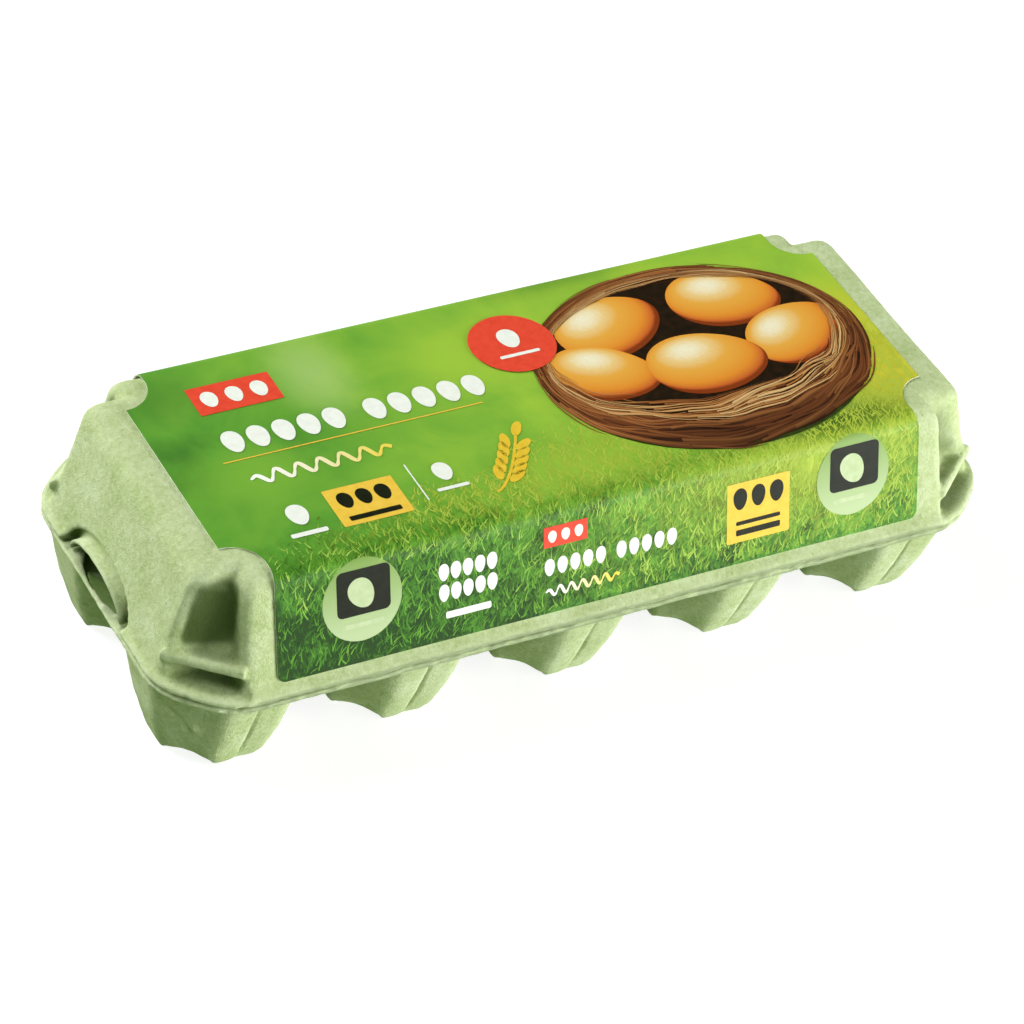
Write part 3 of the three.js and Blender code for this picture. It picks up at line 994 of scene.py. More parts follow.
def under_label(place: np.ndarray) -> np.ndarray:
    """Tells how far each place lies under the label.

    Args:
        place: the points in millimetres.

    Returns:
        A share from 0 to 1 for each point.
    """
    inside = np.clip((SIZES.flap_half + 2 - np.abs(place[:, 0])) / 2, 0, 1)
    wide = np.clip((SIZES.top_half + 2 - np.abs(place[:, 0])) / 2, 0, 1)
    wide *= np.clip((SIZES.bite_y - np.abs(place[:, 1])) / 2, 0, 1)
    high = np.clip((place[:, 2] - SIZES.label_bottom + 2) / 2, 0, 1)
    return np.maximum(inside, wide) * high


TRAY_DENTS = (
    Dent(-114.4, -40.6, 16.2, 1.1, 1.5),
    Dent(-113.2, -42.2, 17.6, 1.6, -0.8),
    Dent(-119.0, -37.6, 22.0, 1.2, 0.5),
    Dent(-117.6, -38.8, 20.4, 1.2, 0.5),
    Dent(-116.2, -39.8, 18.8, 1.2, 0.4),
)


# Label


@dataclass
class LabelSheet:
    """The paper label, glued over the front, the top and the back of the lid.

    u runs along the carton and v across the unrolled sheet, both in millimetres from its middle.
    The front flap has v below zero.
    """

    gap_mm: float = 0.2
    paper_mm: float = 0.24
    wave_mm: float = 0.06
    bite_radius_mm: float = 9.4
    bite_centre_v: float = 38.6
    span_mm: float = 220.0
    columns: int = 90

    def __post_init__(self) -> None:
        """Works out the sheet's path across the lid."""
        self.lean = math.atan(SIZES.front_lean)
        slope = math.hypot(1, SIZES.front_lean)
        self.round = SIZES.top_round + self.gap_mm + self.paper_mm
        self.top = SIZES.lid_top + self.gap_mm + self.paper_mm
        centre_z = SIZES.lid_top - SIZES.top_round
        self.flat = SIZES.fold_y + SIZES.top_round * (SIZES.front_lean - slope)
        self.turn = math.pi / 2 - self.lean
        self.fold_end = self.flat + self.round * self.turn
        fall = centre_z + self.round * math.cos(self.turn) - SIZES.label_bottom
        self.edge = self.fold_end + fall / math.cos(self.lean)

    def place(self, u: np.ndarray, v: np.ndarray, lift: np.ndarray | float = 0.0) -> np.ndarray:
        """Turns places on the sheet into points of the scene.

        Args:
            u: places along the carton.
            v: places across the unrolled sheet.
            lift: heights above the sheet's printed face.

        Returns:
            Points in metres, one row each.
        """
        u, v = np.asarray(u, float), np.asarray(v, float)
        side, away = np.sign(v), np.abs(v)
        turn = np.clip((away - self.flat) / self.round, 0, self.turn)
        along = np.clip(away - self.fold_end, 0, None)
        y = np.minimum(away, self.flat) + self.round * np.sin(turn) + along * math.sin(self.lean)
        z = self.top - self.round * (1 - np.cos(turn)) - along * math.cos(self.lean)
        height = lift + self._wave(u, v)
        points = np.stack([u, side * (y + height * np.sin(turn)) + SIZES.middle_y,
                           z + height * np.cos(turn)], axis=-1)
        return points * MM

    def _wave(self, u: np.ndarray, v: np.ndarray) -> np.ndarray:
        """Gives the sheet's slight unevenness over the pulp, never below its flat place."""
        ripple = np.sin(u / 17 + v / 23) + np.sin(u / 9.5 - v / 31 + 1.3) + np.sin(v / 12 + 0.4)
        return self.wave_mm * (ripple / 3 + 1) / 2

    def half_width(self, v: np.ndarray) -> np.ndarray:
        """Gives half the sheet's width, with the bites at the folds and the round corners.

        Args:
            v: places across the unrolled sheet.

        Returns:
            Half the width at each place.
        """
        away = np.abs(v)
        before = away < self.bite_centre_v - self.bite_radius_mm * 0.98
        half = np.where(before, SIZES.top_half, SIZES.flap_half)
        reach = np.clip(self.bite_centre_v - away, 0, self.bite_radius_mm)
        bite = SIZES.top_half - np.sqrt(np.clip(self.bite_radius_mm**2 - reach**2, 0, None))
        half = np.where((reach > 0) & (away < self.bite_centre_v), np.minimum(bite, SIZES.top_half), half)
        open_out = np.clip((away - self.bite_centre_v) / 10, 0, 1)
        low = SIZES.top_half - self.bite_radius_mm
        half = np.where(away >= self.bite_centre_v, low + (SIZES.flap_half - low) * open_out, half)
        corner = np.clip(away - (self.edge - SIZES.flap_corner), 0, SIZES.flap_corner)
        return half - (SIZES.flap_corner - np.sqrt(SIZES.flap_corner**2 - corner**2))

    def _rows(self) -> np.ndarray:
        """Gives the places of the sheet's rows, close together where its edge or its path bends.

        Returns:
            v of each row, in order.
        """
        bite_start = self.bite_centre_v - self.bite_radius_mm
        knots = [
            np.linspace(0, bite_start - 0.6, 14),
            bite_start + self.bite_radius_mm * (1 - np.cos(np.linspace(0, math.pi / 2, 18))),
            np.linspace(self.bite_centre_v + 0.4, self.fold_end, 16),
            np.linspace(self.fold_end + 1, self.edge - SIZES.flap_corner, 14),
            self.edge - SIZES.flap_corner * (1 - np.sin(np.linspace(0.2, math.pi / 2, 8))),
        ]
        half = np.unique(np.round(np.concatenate(knots), 4))
        return np.concatenate([-half[:0:-1], half])

    def build(self, finish: Material, edge_finish: Material) -> Object:
        """Builds the sheet as a closed thin body.

        Args:
            finish: the printed face.
            edge_finish: the bare paper of its cut edges and its back.

        Returns:
            The finished piece, which stands for the label's node.
        """
        rows = self._rows()
        across = np.sin(np.linspace(-math.pi / 2, math.pi / 2, self.columns) * 0.98)
        across /= across[-1]
        v = np.repeat(rows, self.columns)
        u = (self.half_width(rows)[:, None] * across[None, :]).ravel()
        outer = self.place(u, v)
        inner = self.place(u, v, -self.paper_mm)
        count, columns = len(u), self.columns
        faces, edge_faces = [], []
        for row in range(len(rows) - 1):
            for column in range(columns - 1):
                a = row * columns + column
                faces.append((a, a + 1, a + 1 + columns, a + columns))
                edge_faces.append((count + a, count + a + columns, count + a + 1 + columns, count + a + 1))
        last = (len(rows) - 1) * columns
        rim = [*range(columns), *range(2 * columns - 1, last, columns),
               *range(last + columns - 1, last - 1, -1), *range(last - columns, 0, -columns)]
        for a, b in zip(rim, rim[1:] + rim[:1]):
            edge_faces.append((a, count + a, count + b, b))
        uv = np.stack([u, v], axis=1) / self.span_mm + 0.5
        piece = mesh_object("label_sheet", np.concatenate([outer, inner]), faces + edge_faces,
                            np.concatenate([uv, uv]))
        piece.data.materials.append(finish)
        piece.data.materials.append(edge_finish)
        which = [0] * len(faces) + [1] * len(edge_faces)
        piece.data.polygons.foreach_set("material_index", which)
        piece.data.polygons.foreach_set("use_smooth", [index == 0 for index in which])
        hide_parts("label")
        return settle(piece)


# Print


@dataclass
class Shapes:
    """Flat printed shapes of one ink, gathered into one mesh on the label."""

    name: str
    sheet: LabelSheet
    layer_mm: float

    def __post_init__(self) -> None:
        """Starts with no shapes."""
        self.points: list[np.ndarray] = []
        self.uv: list[np.ndarray] = []
        self.faces: list[tuple[int, ...]] = []
        self.count = 0

    def _add(self, places: np.ndarray, uv: np.ndarray, faces: Iterable[tuple[int, ...]],
             layer: int) -> None:
        """Adds one patch.

        Args:
            places: its points, u and v, one row each.
            uv: the patch's own UV map.
            faces: corner lists.
            layer: its order above the ink's own height.
        """
        lift = self.layer_mm + layer * LAYER_MM
        self.points.append(self.sheet.place(places[:, 0], places[:, 1], lift))
        self.uv.append(uv)
        self.faces.extend(tuple(i + self.count for i in face) for face in faces)
        self.count += len(places)

    def patch(self, centre: tuple[float, float], outline: np.ndarray, angle: float = 0.0,
              rings: int = 6, layer: int = 0) -> None:
        """Adds a patch that fills an outline round its centre.

        Args:
            centre: its place, u and v.
            outline: points round the centre, anticlockwise.
            angle: turn in degrees.
            rings: how many rings of faces fill it.
            layer: its order above the ink's own height.
        """
        turn = math.radians(angle)
        spin = np.array([[math.cos(turn), math.sin(turn)], [-math.sin(turn), math.cos(turn)]])
        local = np.concatenate([np.zeros((1, 2))] + [outline * (i + 1) / rings for i in range(rings)])
        span = np.abs(outline).max(axis=0)
        uv = local / span / 2 + 0.5
        size = len(outline)
        faces = [(0, 1 + i, 1 + (i + 1) % size) for i in range(size)]
        for ring in range(rings - 1):
            base = 1 + ring * size
            faces += [(base + i, base + size + i, base + size + (i + 1) % size, base + (i + 1) % size)
                      for i in range(size)]
        self._add(local @ spin + centre, uv, faces, layer)

    def oval(self, centre: tuple[float, float], half_u: float, half_v: float, **more: float) -> None:
        """Adds an oval."""
        turn = np.linspace(0, 2 * math.pi, 40, endpoint=False)
        self.patch(centre, np.stack([half_u * np.cos(turn), half_v * np.sin(turn)], axis=1), **more)

    def egg(self, centre: tuple[float, float], half_long: float, half_wide: float, **more: float) -> None:
        """Adds an egg shape, its blunt end at -u before it is turned.

        Args:
            centre: its place, u and v.
            half_long: half its length.
            half_wide: half its width.
            more: what patch takes.
        """
        turn = np.linspace(0, 2 * math.pi, 56, endpoint=False)
        taper = 1 - 0.13 * np.cos(turn)
        outline = np.stack([half_long * np.cos(turn), half_wide * np.sin(turn) * taper], axis=1)
        self.patch(centre, outline, **more)

    def box(self, centre: tuple[float, float], half_u: float, half_v: float, corner: float = 0.6,
            **more: float) -> None:
        """Adds a box with round corners.

        Args:
            centre: its place, u and v.
            half_u: half its length along the carton.
            half_v: half its height.
            corner: its corners' radius.
            more: what patch takes.
        """
        turns = np.linspace(0, math.pi / 2, 5)
        corners = []
        for quarter, (su, sv) in enumerate(((1, 1), (-1, 1), (-1, -1), (1, -1))):
            for turn in turns + quarter * math.pi / 2:
                corners.append((su * (half_u - corner) + corner * math.cos(turn),
                                sv * (half_v - corner) + corner * math.sin(turn)))
        self.patch(centre, np.array(corners), **more)

    def stroke(self, path: np.ndarray, width: Callable[[float], float] | float, layer: int = 0) -> None:
        """Adds a stroke along a path.

        Args:
            path: its places, u and v, one row each.
            width: its width, or a function of the share of the way along.
            layer: its order above the ink's own height.
        """
        along = np.gradient(path, axis=0)
        along /= np.linalg.norm(along, axis=1, keepdims=True)
        across = np.stack([-along[:, 1], along[:, 0]], axis=1)
        share = np.linspace(0, 1, len(path))
        wide = np.array([width(s) if callable(width) else width for s in share])[:, None] / 2
        places = np.concatenate([path + across * wide, path - across * wide])
        uv = np.concatenate([np.stack([share, share * 0], 1), np.stack([share, share * 0 + 1], 1)])
        size = len(path)
        faces = [(size + i, size + i + 1, i + 1, i) for i in range(size - 1)]
        self._add(places, uv, faces, layer)

    def build(self, finish: Material) -> Object:
        """Builds the gathered shapes as one piece."""
        piece = mesh_object(self.name, np.concatenate(self.points), self.faces, np.concatenate(self.uv))
        piece.data.materials.append(finish)
        return settle(piece)


@dataclass(frozen=True)
class Strands:
    """Many thin flat strands strewn over a field by Geometry Nodes, such as twigs or grass."""

    name: str
    count: int
    size_u: float
    size_v: float
    length: float
    width: float
    bend: float
    heading: float
    spread: float
    smallest: float
    taper: float
    steps: int
    seed: int

    SOCKETS = ("Count", "Length", "Width", "Bend", "Heading", "Spread", "Smallest", "Taper", "Seed")

    def scatter(self, finish: Material) -> Mesh:
        """Runs the tree and gives the strands as a plain mesh in the field's own plane.

        Args:
            finish: the strands' material.

        Returns:
            A mesh whose x and y run over the field, in millimetres, from its corner.
        """
        tree = self._tree(finish)
        holder = bpy.data.objects.new(self.name + "_field", bpy.data.meshes.new(self.name + "_field"))
        bpy.context.scene.collection.objects.link(holder)
        modifier = holder.modifiers.new("strands", "NODES")
        modifier.node_group = tree
        values = (self.count, self.length, self.width, self.bend, math.radians(self.heading),
                  math.radians(self.spread), self.smallest, self.taper, self.seed)
        identifiers = {item.name: item.identifier for item in tree.interface.items_tree
                       if item.in_out == "INPUT" and item.name in self.SOCKETS}
        for name, value in zip(self.SOCKETS, values):
            modifier[identifiers[name]] = value
        mesh = evaluated_mesh(holder)
        bpy.data.objects.remove(holder)
        return mesh

    def _tree(self, finish: Material) -> NodeTree:
        """Builds the tree: one bent, tapering strand, copied onto random points of the field.

        Args:
            finish: the strands' material.

        Returns:
            The tree.
        """
        tree = bpy.data.node_groups.new(self.name, "GeometryNodeTree")
        tree.interface.new_socket("Geometry", in_out="INPUT", socket_type="NodeSocketGeometry")
        tree.interface.new_socket("Geometry", in_out="OUTPUT", socket_type="NodeSocketGeometry")
        for name in self.SOCKETS:
            kind = "NodeSocketInt" if name in ("Count", "Seed") else "NodeSocketFloat"
            tree.interface.new_socket(name, in_out="INPUT", socket_type=kind)
        given = add_node(tree, "NodeGroupInput").outputs
        strand = self._strand(tree, given)
        where = add_node(tree, "FunctionNodeRandomValue",
                         {"Max": (self.size_u, self.size_v, 0.0), "Seed": given["Seed"]},
                         data_type="FLOAT_VECTOR")
        dots = add_node(tree, "GeometryNodePoints", {"Count": given["Count"], "Position": where})
        low, high = (add_node(tree, "Math", {0: given["Heading"], 1: given["Spread"]}, operation=way)
                     for way in ("SUBTRACT", "ADD"))
        later, last, third = (add_node(tree, "Math", {0: given["Seed"], 1: step}, operation="ADD")
                              for step in (1.0, 2.0, 3.0))
        turn = add_node(tree, "FunctionNodeRandomValue",
                        {2: low, 3: high, "Seed": later}, data_type="FLOAT")
        spin = add_node(tree, "CombineXYZ", {2: turn.outputs[1]})
        grow = add_node(tree, "FunctionNodeRandomValue",
                        {2: given["Smallest"], 3: 1.0, "Seed": last}, data_type="FLOAT")
        copies = add_node(tree, "GeometryNodeInstanceOnPoints",
                          {"Points": dots, "Instance": strand, "Rotation": spin,
                           "Scale": grow.outputs[1]})
        tint = add_node(tree, "FunctionNodeRandomValue", {2: 0.0, 3: 1.0, "Seed": third},
                        data_type="FLOAT")
        toned = add_node(tree, "GeometryNodeStoreNamedAttribute",
                         {"Geometry": copies, "Name": "tint", "Value": tint.outputs[1]},
                         data_type="FLOAT", domain="INSTANCE")
        real = add_node(tree, "GeometryNodeRealizeInstances", {0: toned})
        done = add_node(tree, "GeometryNodeSetMaterial", {"Geometry": real, "Material": finish})
        add_node(tree, "NodeGroupOutput", {0: done})
        return tree

    def _strand(self, tree: NodeTree, given: Sequence[NodeSocket]) -> NodeSocket:
        """Builds one strand from a narrow grid that is bent and tapered towards its tip.

        Args:
            tree: the strands' tree.
            given: the sockets of the tree's named inputs.

        Returns:
            The socket of the strand's geometry.
        """
        grid = add_node(tree, "GeometryNodeMeshGrid",
                        {"Size X": given["Width"], "Size Y": given["Length"], "Vertices X": 3,
                         "Vertices Y": self.steps})
        at = add_node(tree, "SeparateXYZ", {0: add_node(tree, "GeometryNodeInputPosition").outputs[0]})
        share = add_node(tree, "Math", {0: at.outputs[1], 1: given["Length"]}, operation="DIVIDE")
        rise = add_node(tree, "Math", {0: share, 1: 0.5}, operation="ADD")
        half = add_node(tree, "Math", {0: given["Width"], 1: 0.5}, operation="MULTIPLY")
        side = add_node(tree, "Math", {0: at, 1: half}, operation="DIVIDE")
        marked = add_node(tree, "GeometryNodeStoreNamedAttribute",
                          {"Geometry": grid, "Name": "across", "Value": side},
                          data_type="FLOAT", domain="POINT")
        squared = add_node(tree, "Math", {0: rise, 1: 2.0}, operation="POWER")
        thin = add_node(tree, "Math", {0: squared, 1: given["Taper"]}, operation="MULTIPLY")
        left = add_node(tree, "Math", {0: 1.0, 1: thin}, operation="SUBTRACT")
        narrow = add_node(tree, "Math", {0: at, 1: left}, operation="MULTIPLY")
        bent = add_node(tree, "Math", {0: squared, 1: given["Bend"], 2: narrow}, operation="MULTIPLY_ADD")
        up = add_node(tree, "Math", {0: rise, 1: given["Length"]}, operation="MULTIPLY")
        to = add_node(tree, "CombineXYZ", {0: bent, 1: up})
        return add_node(tree, "GeometryNodeSetPosition", {"Geometry": marked, "Position": to}).outputs[0]


def lay_strands(sheet: LabelSheet, name: str, mesh: Mesh, places: np.ndarray, lift: float,
                facts: dict[str, np.ndarray], keep: np.ndarray, finish: Material) -> None:
    """Lays a field of strands on the label.

    Args:
        sheet: the label.
        name: the new piece's name.
        mesh: the field; its points get their places on the label.
        places: u and v of each point.
        lift: the height of the lowest strands above the print.
        facts: values for the points' attributes.
        keep: which points may stay; a face with any other point goes.
        finish: the strands' material.
    """
    corners = np.array([face.vertices[:] for face in mesh.polygons])
    corners = corners[keep[corners].all(axis=1)]
    used = np.unique(corners)
    order = np.zeros(len(mesh.vertices), dtype=int)
    order[used] = np.arange(len(used))
    height = lift + facts["tint"] * 0.05
    points = sheet.place(places[:, 0], places[:, 1], height)
    piece = mesh_object(name, points[used], order[corners])
    for fact, values in facts.items():
        layer = piece.data.attributes.new(fact, "FLOAT", "POINT")
        layer.data.foreach_set("value", values[used].astype(np.float32))
    piece.data.materials.append(finish)
    bpy.data.meshes.remove(mesh)
    settle(piece)


def fact_of(mesh: Mesh, name: str) -> np.ndarray:
    """Reads one of a mesh's point attributes."""
    values = np.empty(len(mesh.vertices), dtype=np.float32)
    mesh.attributes[name].data.foreach_get("value", values)
    return values.astype(np.float64)


@dataclass(frozen=True)
class TwigRing:
    """A band of twigs round the nest's opening, and how it lies between the opening and the outline."""

    name: str
    count: int
    length: float
    width: float
    inner: float
    outer: float
    lift: float
    wobble: float
    paint: str
    seed: int


@dataclass
class Nest:
    """The printed nest of twigs on the right of the top, with five eggs in it."""

    sheet: LabelSheet
    opening_centre: tuple[float, float] = (52.5, 5.0)
    opening: tuple[float, float] = (43.0, 28.0)
    outline_centre: tuple[float, float] = (52.5, -0.6)
    outline: tuple[float, float] = (48.5, 38.0)
    turns_mm: float = 240.0
    thickness_mm: float = 10.0
    eggs: tuple[tuple[float, float, float, float, float], ...] = (
        (33.5, 18.5, 16.6, 12.2, 16.0),
        (70.0, 19.0, 16.4, 12.0, -14.0),
        (22.5, 0.5, 15.6, 11.4, -24.0),
        (82.0, -0.5, 15.8, 11.6, 22.0),
        (52.0, -4.5, 17.4, 12.6, -5.0),
    )
    rings: tuple[TwigRing, ...] = (
        TwigRing("nest_wall", 620, 30.0, 0.95, 0.05, 1.0, 0.16, 0.14, "twig_dark", 3),
        TwigRing("nest_back", 120, 34.0, 0.75, -0.25, 0.5, 0.10, 0.2, "twig_dark", 9),
        TwigRing("nest_rim", 210, 44.0, 0.9, -0.2, 0.3, 0.28, 0.22, "twig_light", 6),
    )

    def _band(self, field: np.ndarray, ring: TwigRing) -> np.ndarray:
        """Bends a straight field of twigs into a ring.

        Args:
            field: points whose x runs round the ring and y from its inside out.
            ring: the ring.

        Returns:
            u and v of each point.
        """
        around = field[:, 0] / self.turns_mm * 2 * math.pi + math.pi / 2
        out = ring.inner + (ring.outer - ring.inner) * field[:, 1] / self.thickness_mm
        places = np.stack([np.cos(around) * 3, np.sin(around) * 3, out * 3 + ring.seed], axis=1)
        out = out + coherent(places) * ring.wobble
        way = np.stack([np.cos(around), np.sin(around)], axis=1)
        inner = way * self.opening + self.opening_centre
        outer = way * self.outline + self.outline_centre
        return inner + (outer - inner) * out[:, None]

    def build(self, paints: dict[str, Material]) -> None:
        """Builds the bed, the eggs and the twigs.

        Args:
            paints: the finishes by name.
        """
        shade = Shapes("nest_shadow", self.sheet, 0.05)
        shade.oval((self.outline_centre[0] - 0.2, self.outline_centre[1] - 2.0), self.outline[0] - 0.9,
                   self.outline[1] - 0.7, rings=10)
        shade.build(paints["shadow"])
        bed = Shapes("nest_bed", self.sheet, 0.08)
        bed.oval(self.outline_centre, self.outline[0] - 1.2, self.outline[1] - 1.2, rings=10)
        bed.build(paints["bed"])
        picture = Shapes("nest_eggs", self.sheet, 0.13)
        for layer, (u, v, half_long, half_wide, angle) in enumerate(self.eggs):
            picture.egg((u, v), half_long, half_wide, angle=angle, rings=10, layer=layer // 2)
        picture.build(paints["egg"])
        for ring in self.rings:
            strands = Strands(ring.name, ring.count, self.turns_mm, self.thickness_mm, ring.length,
                              ring.width, 1.3, -90.0, 7.0, 0.45, 0.8, 12, SHAPE_SEED + ring.seed)
            mesh = strands.scatter(paints[ring.paint])
            places = self._band(points_of(mesh), ring)
            tint = fact_of(mesh, "tint")
            low = ease((self.opening_centre[1] - self.opening[1] + 4 - places[:, 1]) / 16)
            tone = (0.55 * low + 0.25 * ease((places[:, 0] - 60) / 40)) * (ring.paint == "twig_dark")
            facts = {"tint": tint, "across": fact_of(mesh, "across"), "tone": tone}
            keep = (np.abs(places[:, 0]) < self.sheet.half_width(places[:, 1]) - 0.4)
            lay_strands(self.sheet, ring.name, mesh, places, ring.lift, facts, keep, paints[ring.paint])


@dataclass
class Meadow:
    """Blades of grass in print, over the front flap and the near part of the top."""

    sheet: LabelSheet
    count: int = 15000
    far_v: float = 2.0
    steepness: float = 1.25
    # the nest's place, where no blades grow
    bare_centre: tuple[float, float] = (52.5, -1.6)
    bare_half: tuple[float, float] = (48.3, 38.2)
    # the blades thin out towards a ragged line, which rises to the right up to thin_top
    thin_slope: float = 0.2
    thin_start: float = -12.0
    thin_top: float = -6.0
    thin_ragged: float = 6.0
    thin_length: float = 14.0
    thin_width: float = 15.0
    # the blades are darkest at the lower left
    dark_low: SoftEdge = SoftEdge(-38.0, 30.0)
    dark_left: SoftEdge = SoftEdge(40.0, 120.0)
    dark_share: float = 0.4
    # they turn lime towards the right, towards the fold and round one bright spot on the right
    lime_right: tuple[SoftEdge, SoftEdge] = (SoftEdge(50.0, 130.0), SoftEdge(95.0, 55.0))
    lime_fold: tuple[SoftEdge, SoftEdge] = (SoftEdge(100.0, 70.0), SoftEdge(50.0, 16.0))
    lime_share: tuple[float, float] = (0.85, 0.75)
    spot_centre: tuple[float, float] = (100.0, -22.0)
    spot_half: tuple[float, float] = (26.0, 34.0)
    spot_gain: float = 1.6
    tuft_length: tuple[float, float] = (6.0, 5.0)
    tuft_share: float = 0.3

    def build(self, finish: Material) -> None:
        """Strews the blades and lays them on the label, longer and denser towards its lower edge.

        Args:
            finish: the blades' material.
        """
        size_u, size_v = 2 * SIZES.top_half, self.sheet.edge + self.far_v
        mesh = Strands("grass_blades", self.count, size_u, size_v, 3.6, 0.5, 1.2, 0.0, 52.0, 0.35, 1.0, 4,
                       SHAPE_SEED).scatter(finish)
        field = points_of(mesh)
        share = 1 - np.clip(field[:, 1] / size_v, 0, 1)
        u = field[:, 0] - SIZES.top_half
        v = self.far_v - size_v * share**self.steepness
        tint = fact_of(mesh, "tint")
        chance = (tint * 57.31) % 1
        ragged = coherent(np.stack([u, v, u * 0], axis=1) / self.thin_length)
        bound = np.minimum(self.thin_slope * u + self.thin_start, self.thin_top) + self.thin_ragged * ragged
        keep = np.abs(u) < self.sheet.half_width(v) - 0.5
        keep &= v > -self.sheet.edge + 0.4
        keep &= chance < ease((bound - v) / self.thin_width)
        bare = np.hypot((u - self.bare_centre[0]) / self.bare_half[0],
                        (v - self.bare_centre[1]) / self.bare_half[1])
        keep &= bare > 1
        dark = self.dark_low.rise(-v) * self.dark_left.rise(-u)
        spot = np.hypot((u - self.spot_centre[0]) / self.spot_half[0],
                        (v - self.spot_centre[1]) / self.spot_half[1])
        lime = ease(self.spot_gain * (1 - spot))
        for (right, up), most in zip((self.lime_right, self.lime_fold), self.lime_share):
            lime = np.maximum(lime, most * right.rise(u) * up.rise(v))
        tuft = coherent(np.stack([u / self.tuft_length[0], v / self.tuft_length[1], u * 0 + 4], axis=1))
        tint = np.clip(tint - self.dark_share * dark + self.tuft_share * tuft, 0, 1)
        facts = {"tint": tint, "across": fact_of(mesh, "across"), "tone": np.clip(lime, 0, 1)}
        lay_strands(self.sheet, "grass_blades", mesh, np.stack([u, v], axis=1), 0.03, facts, keep, finish)


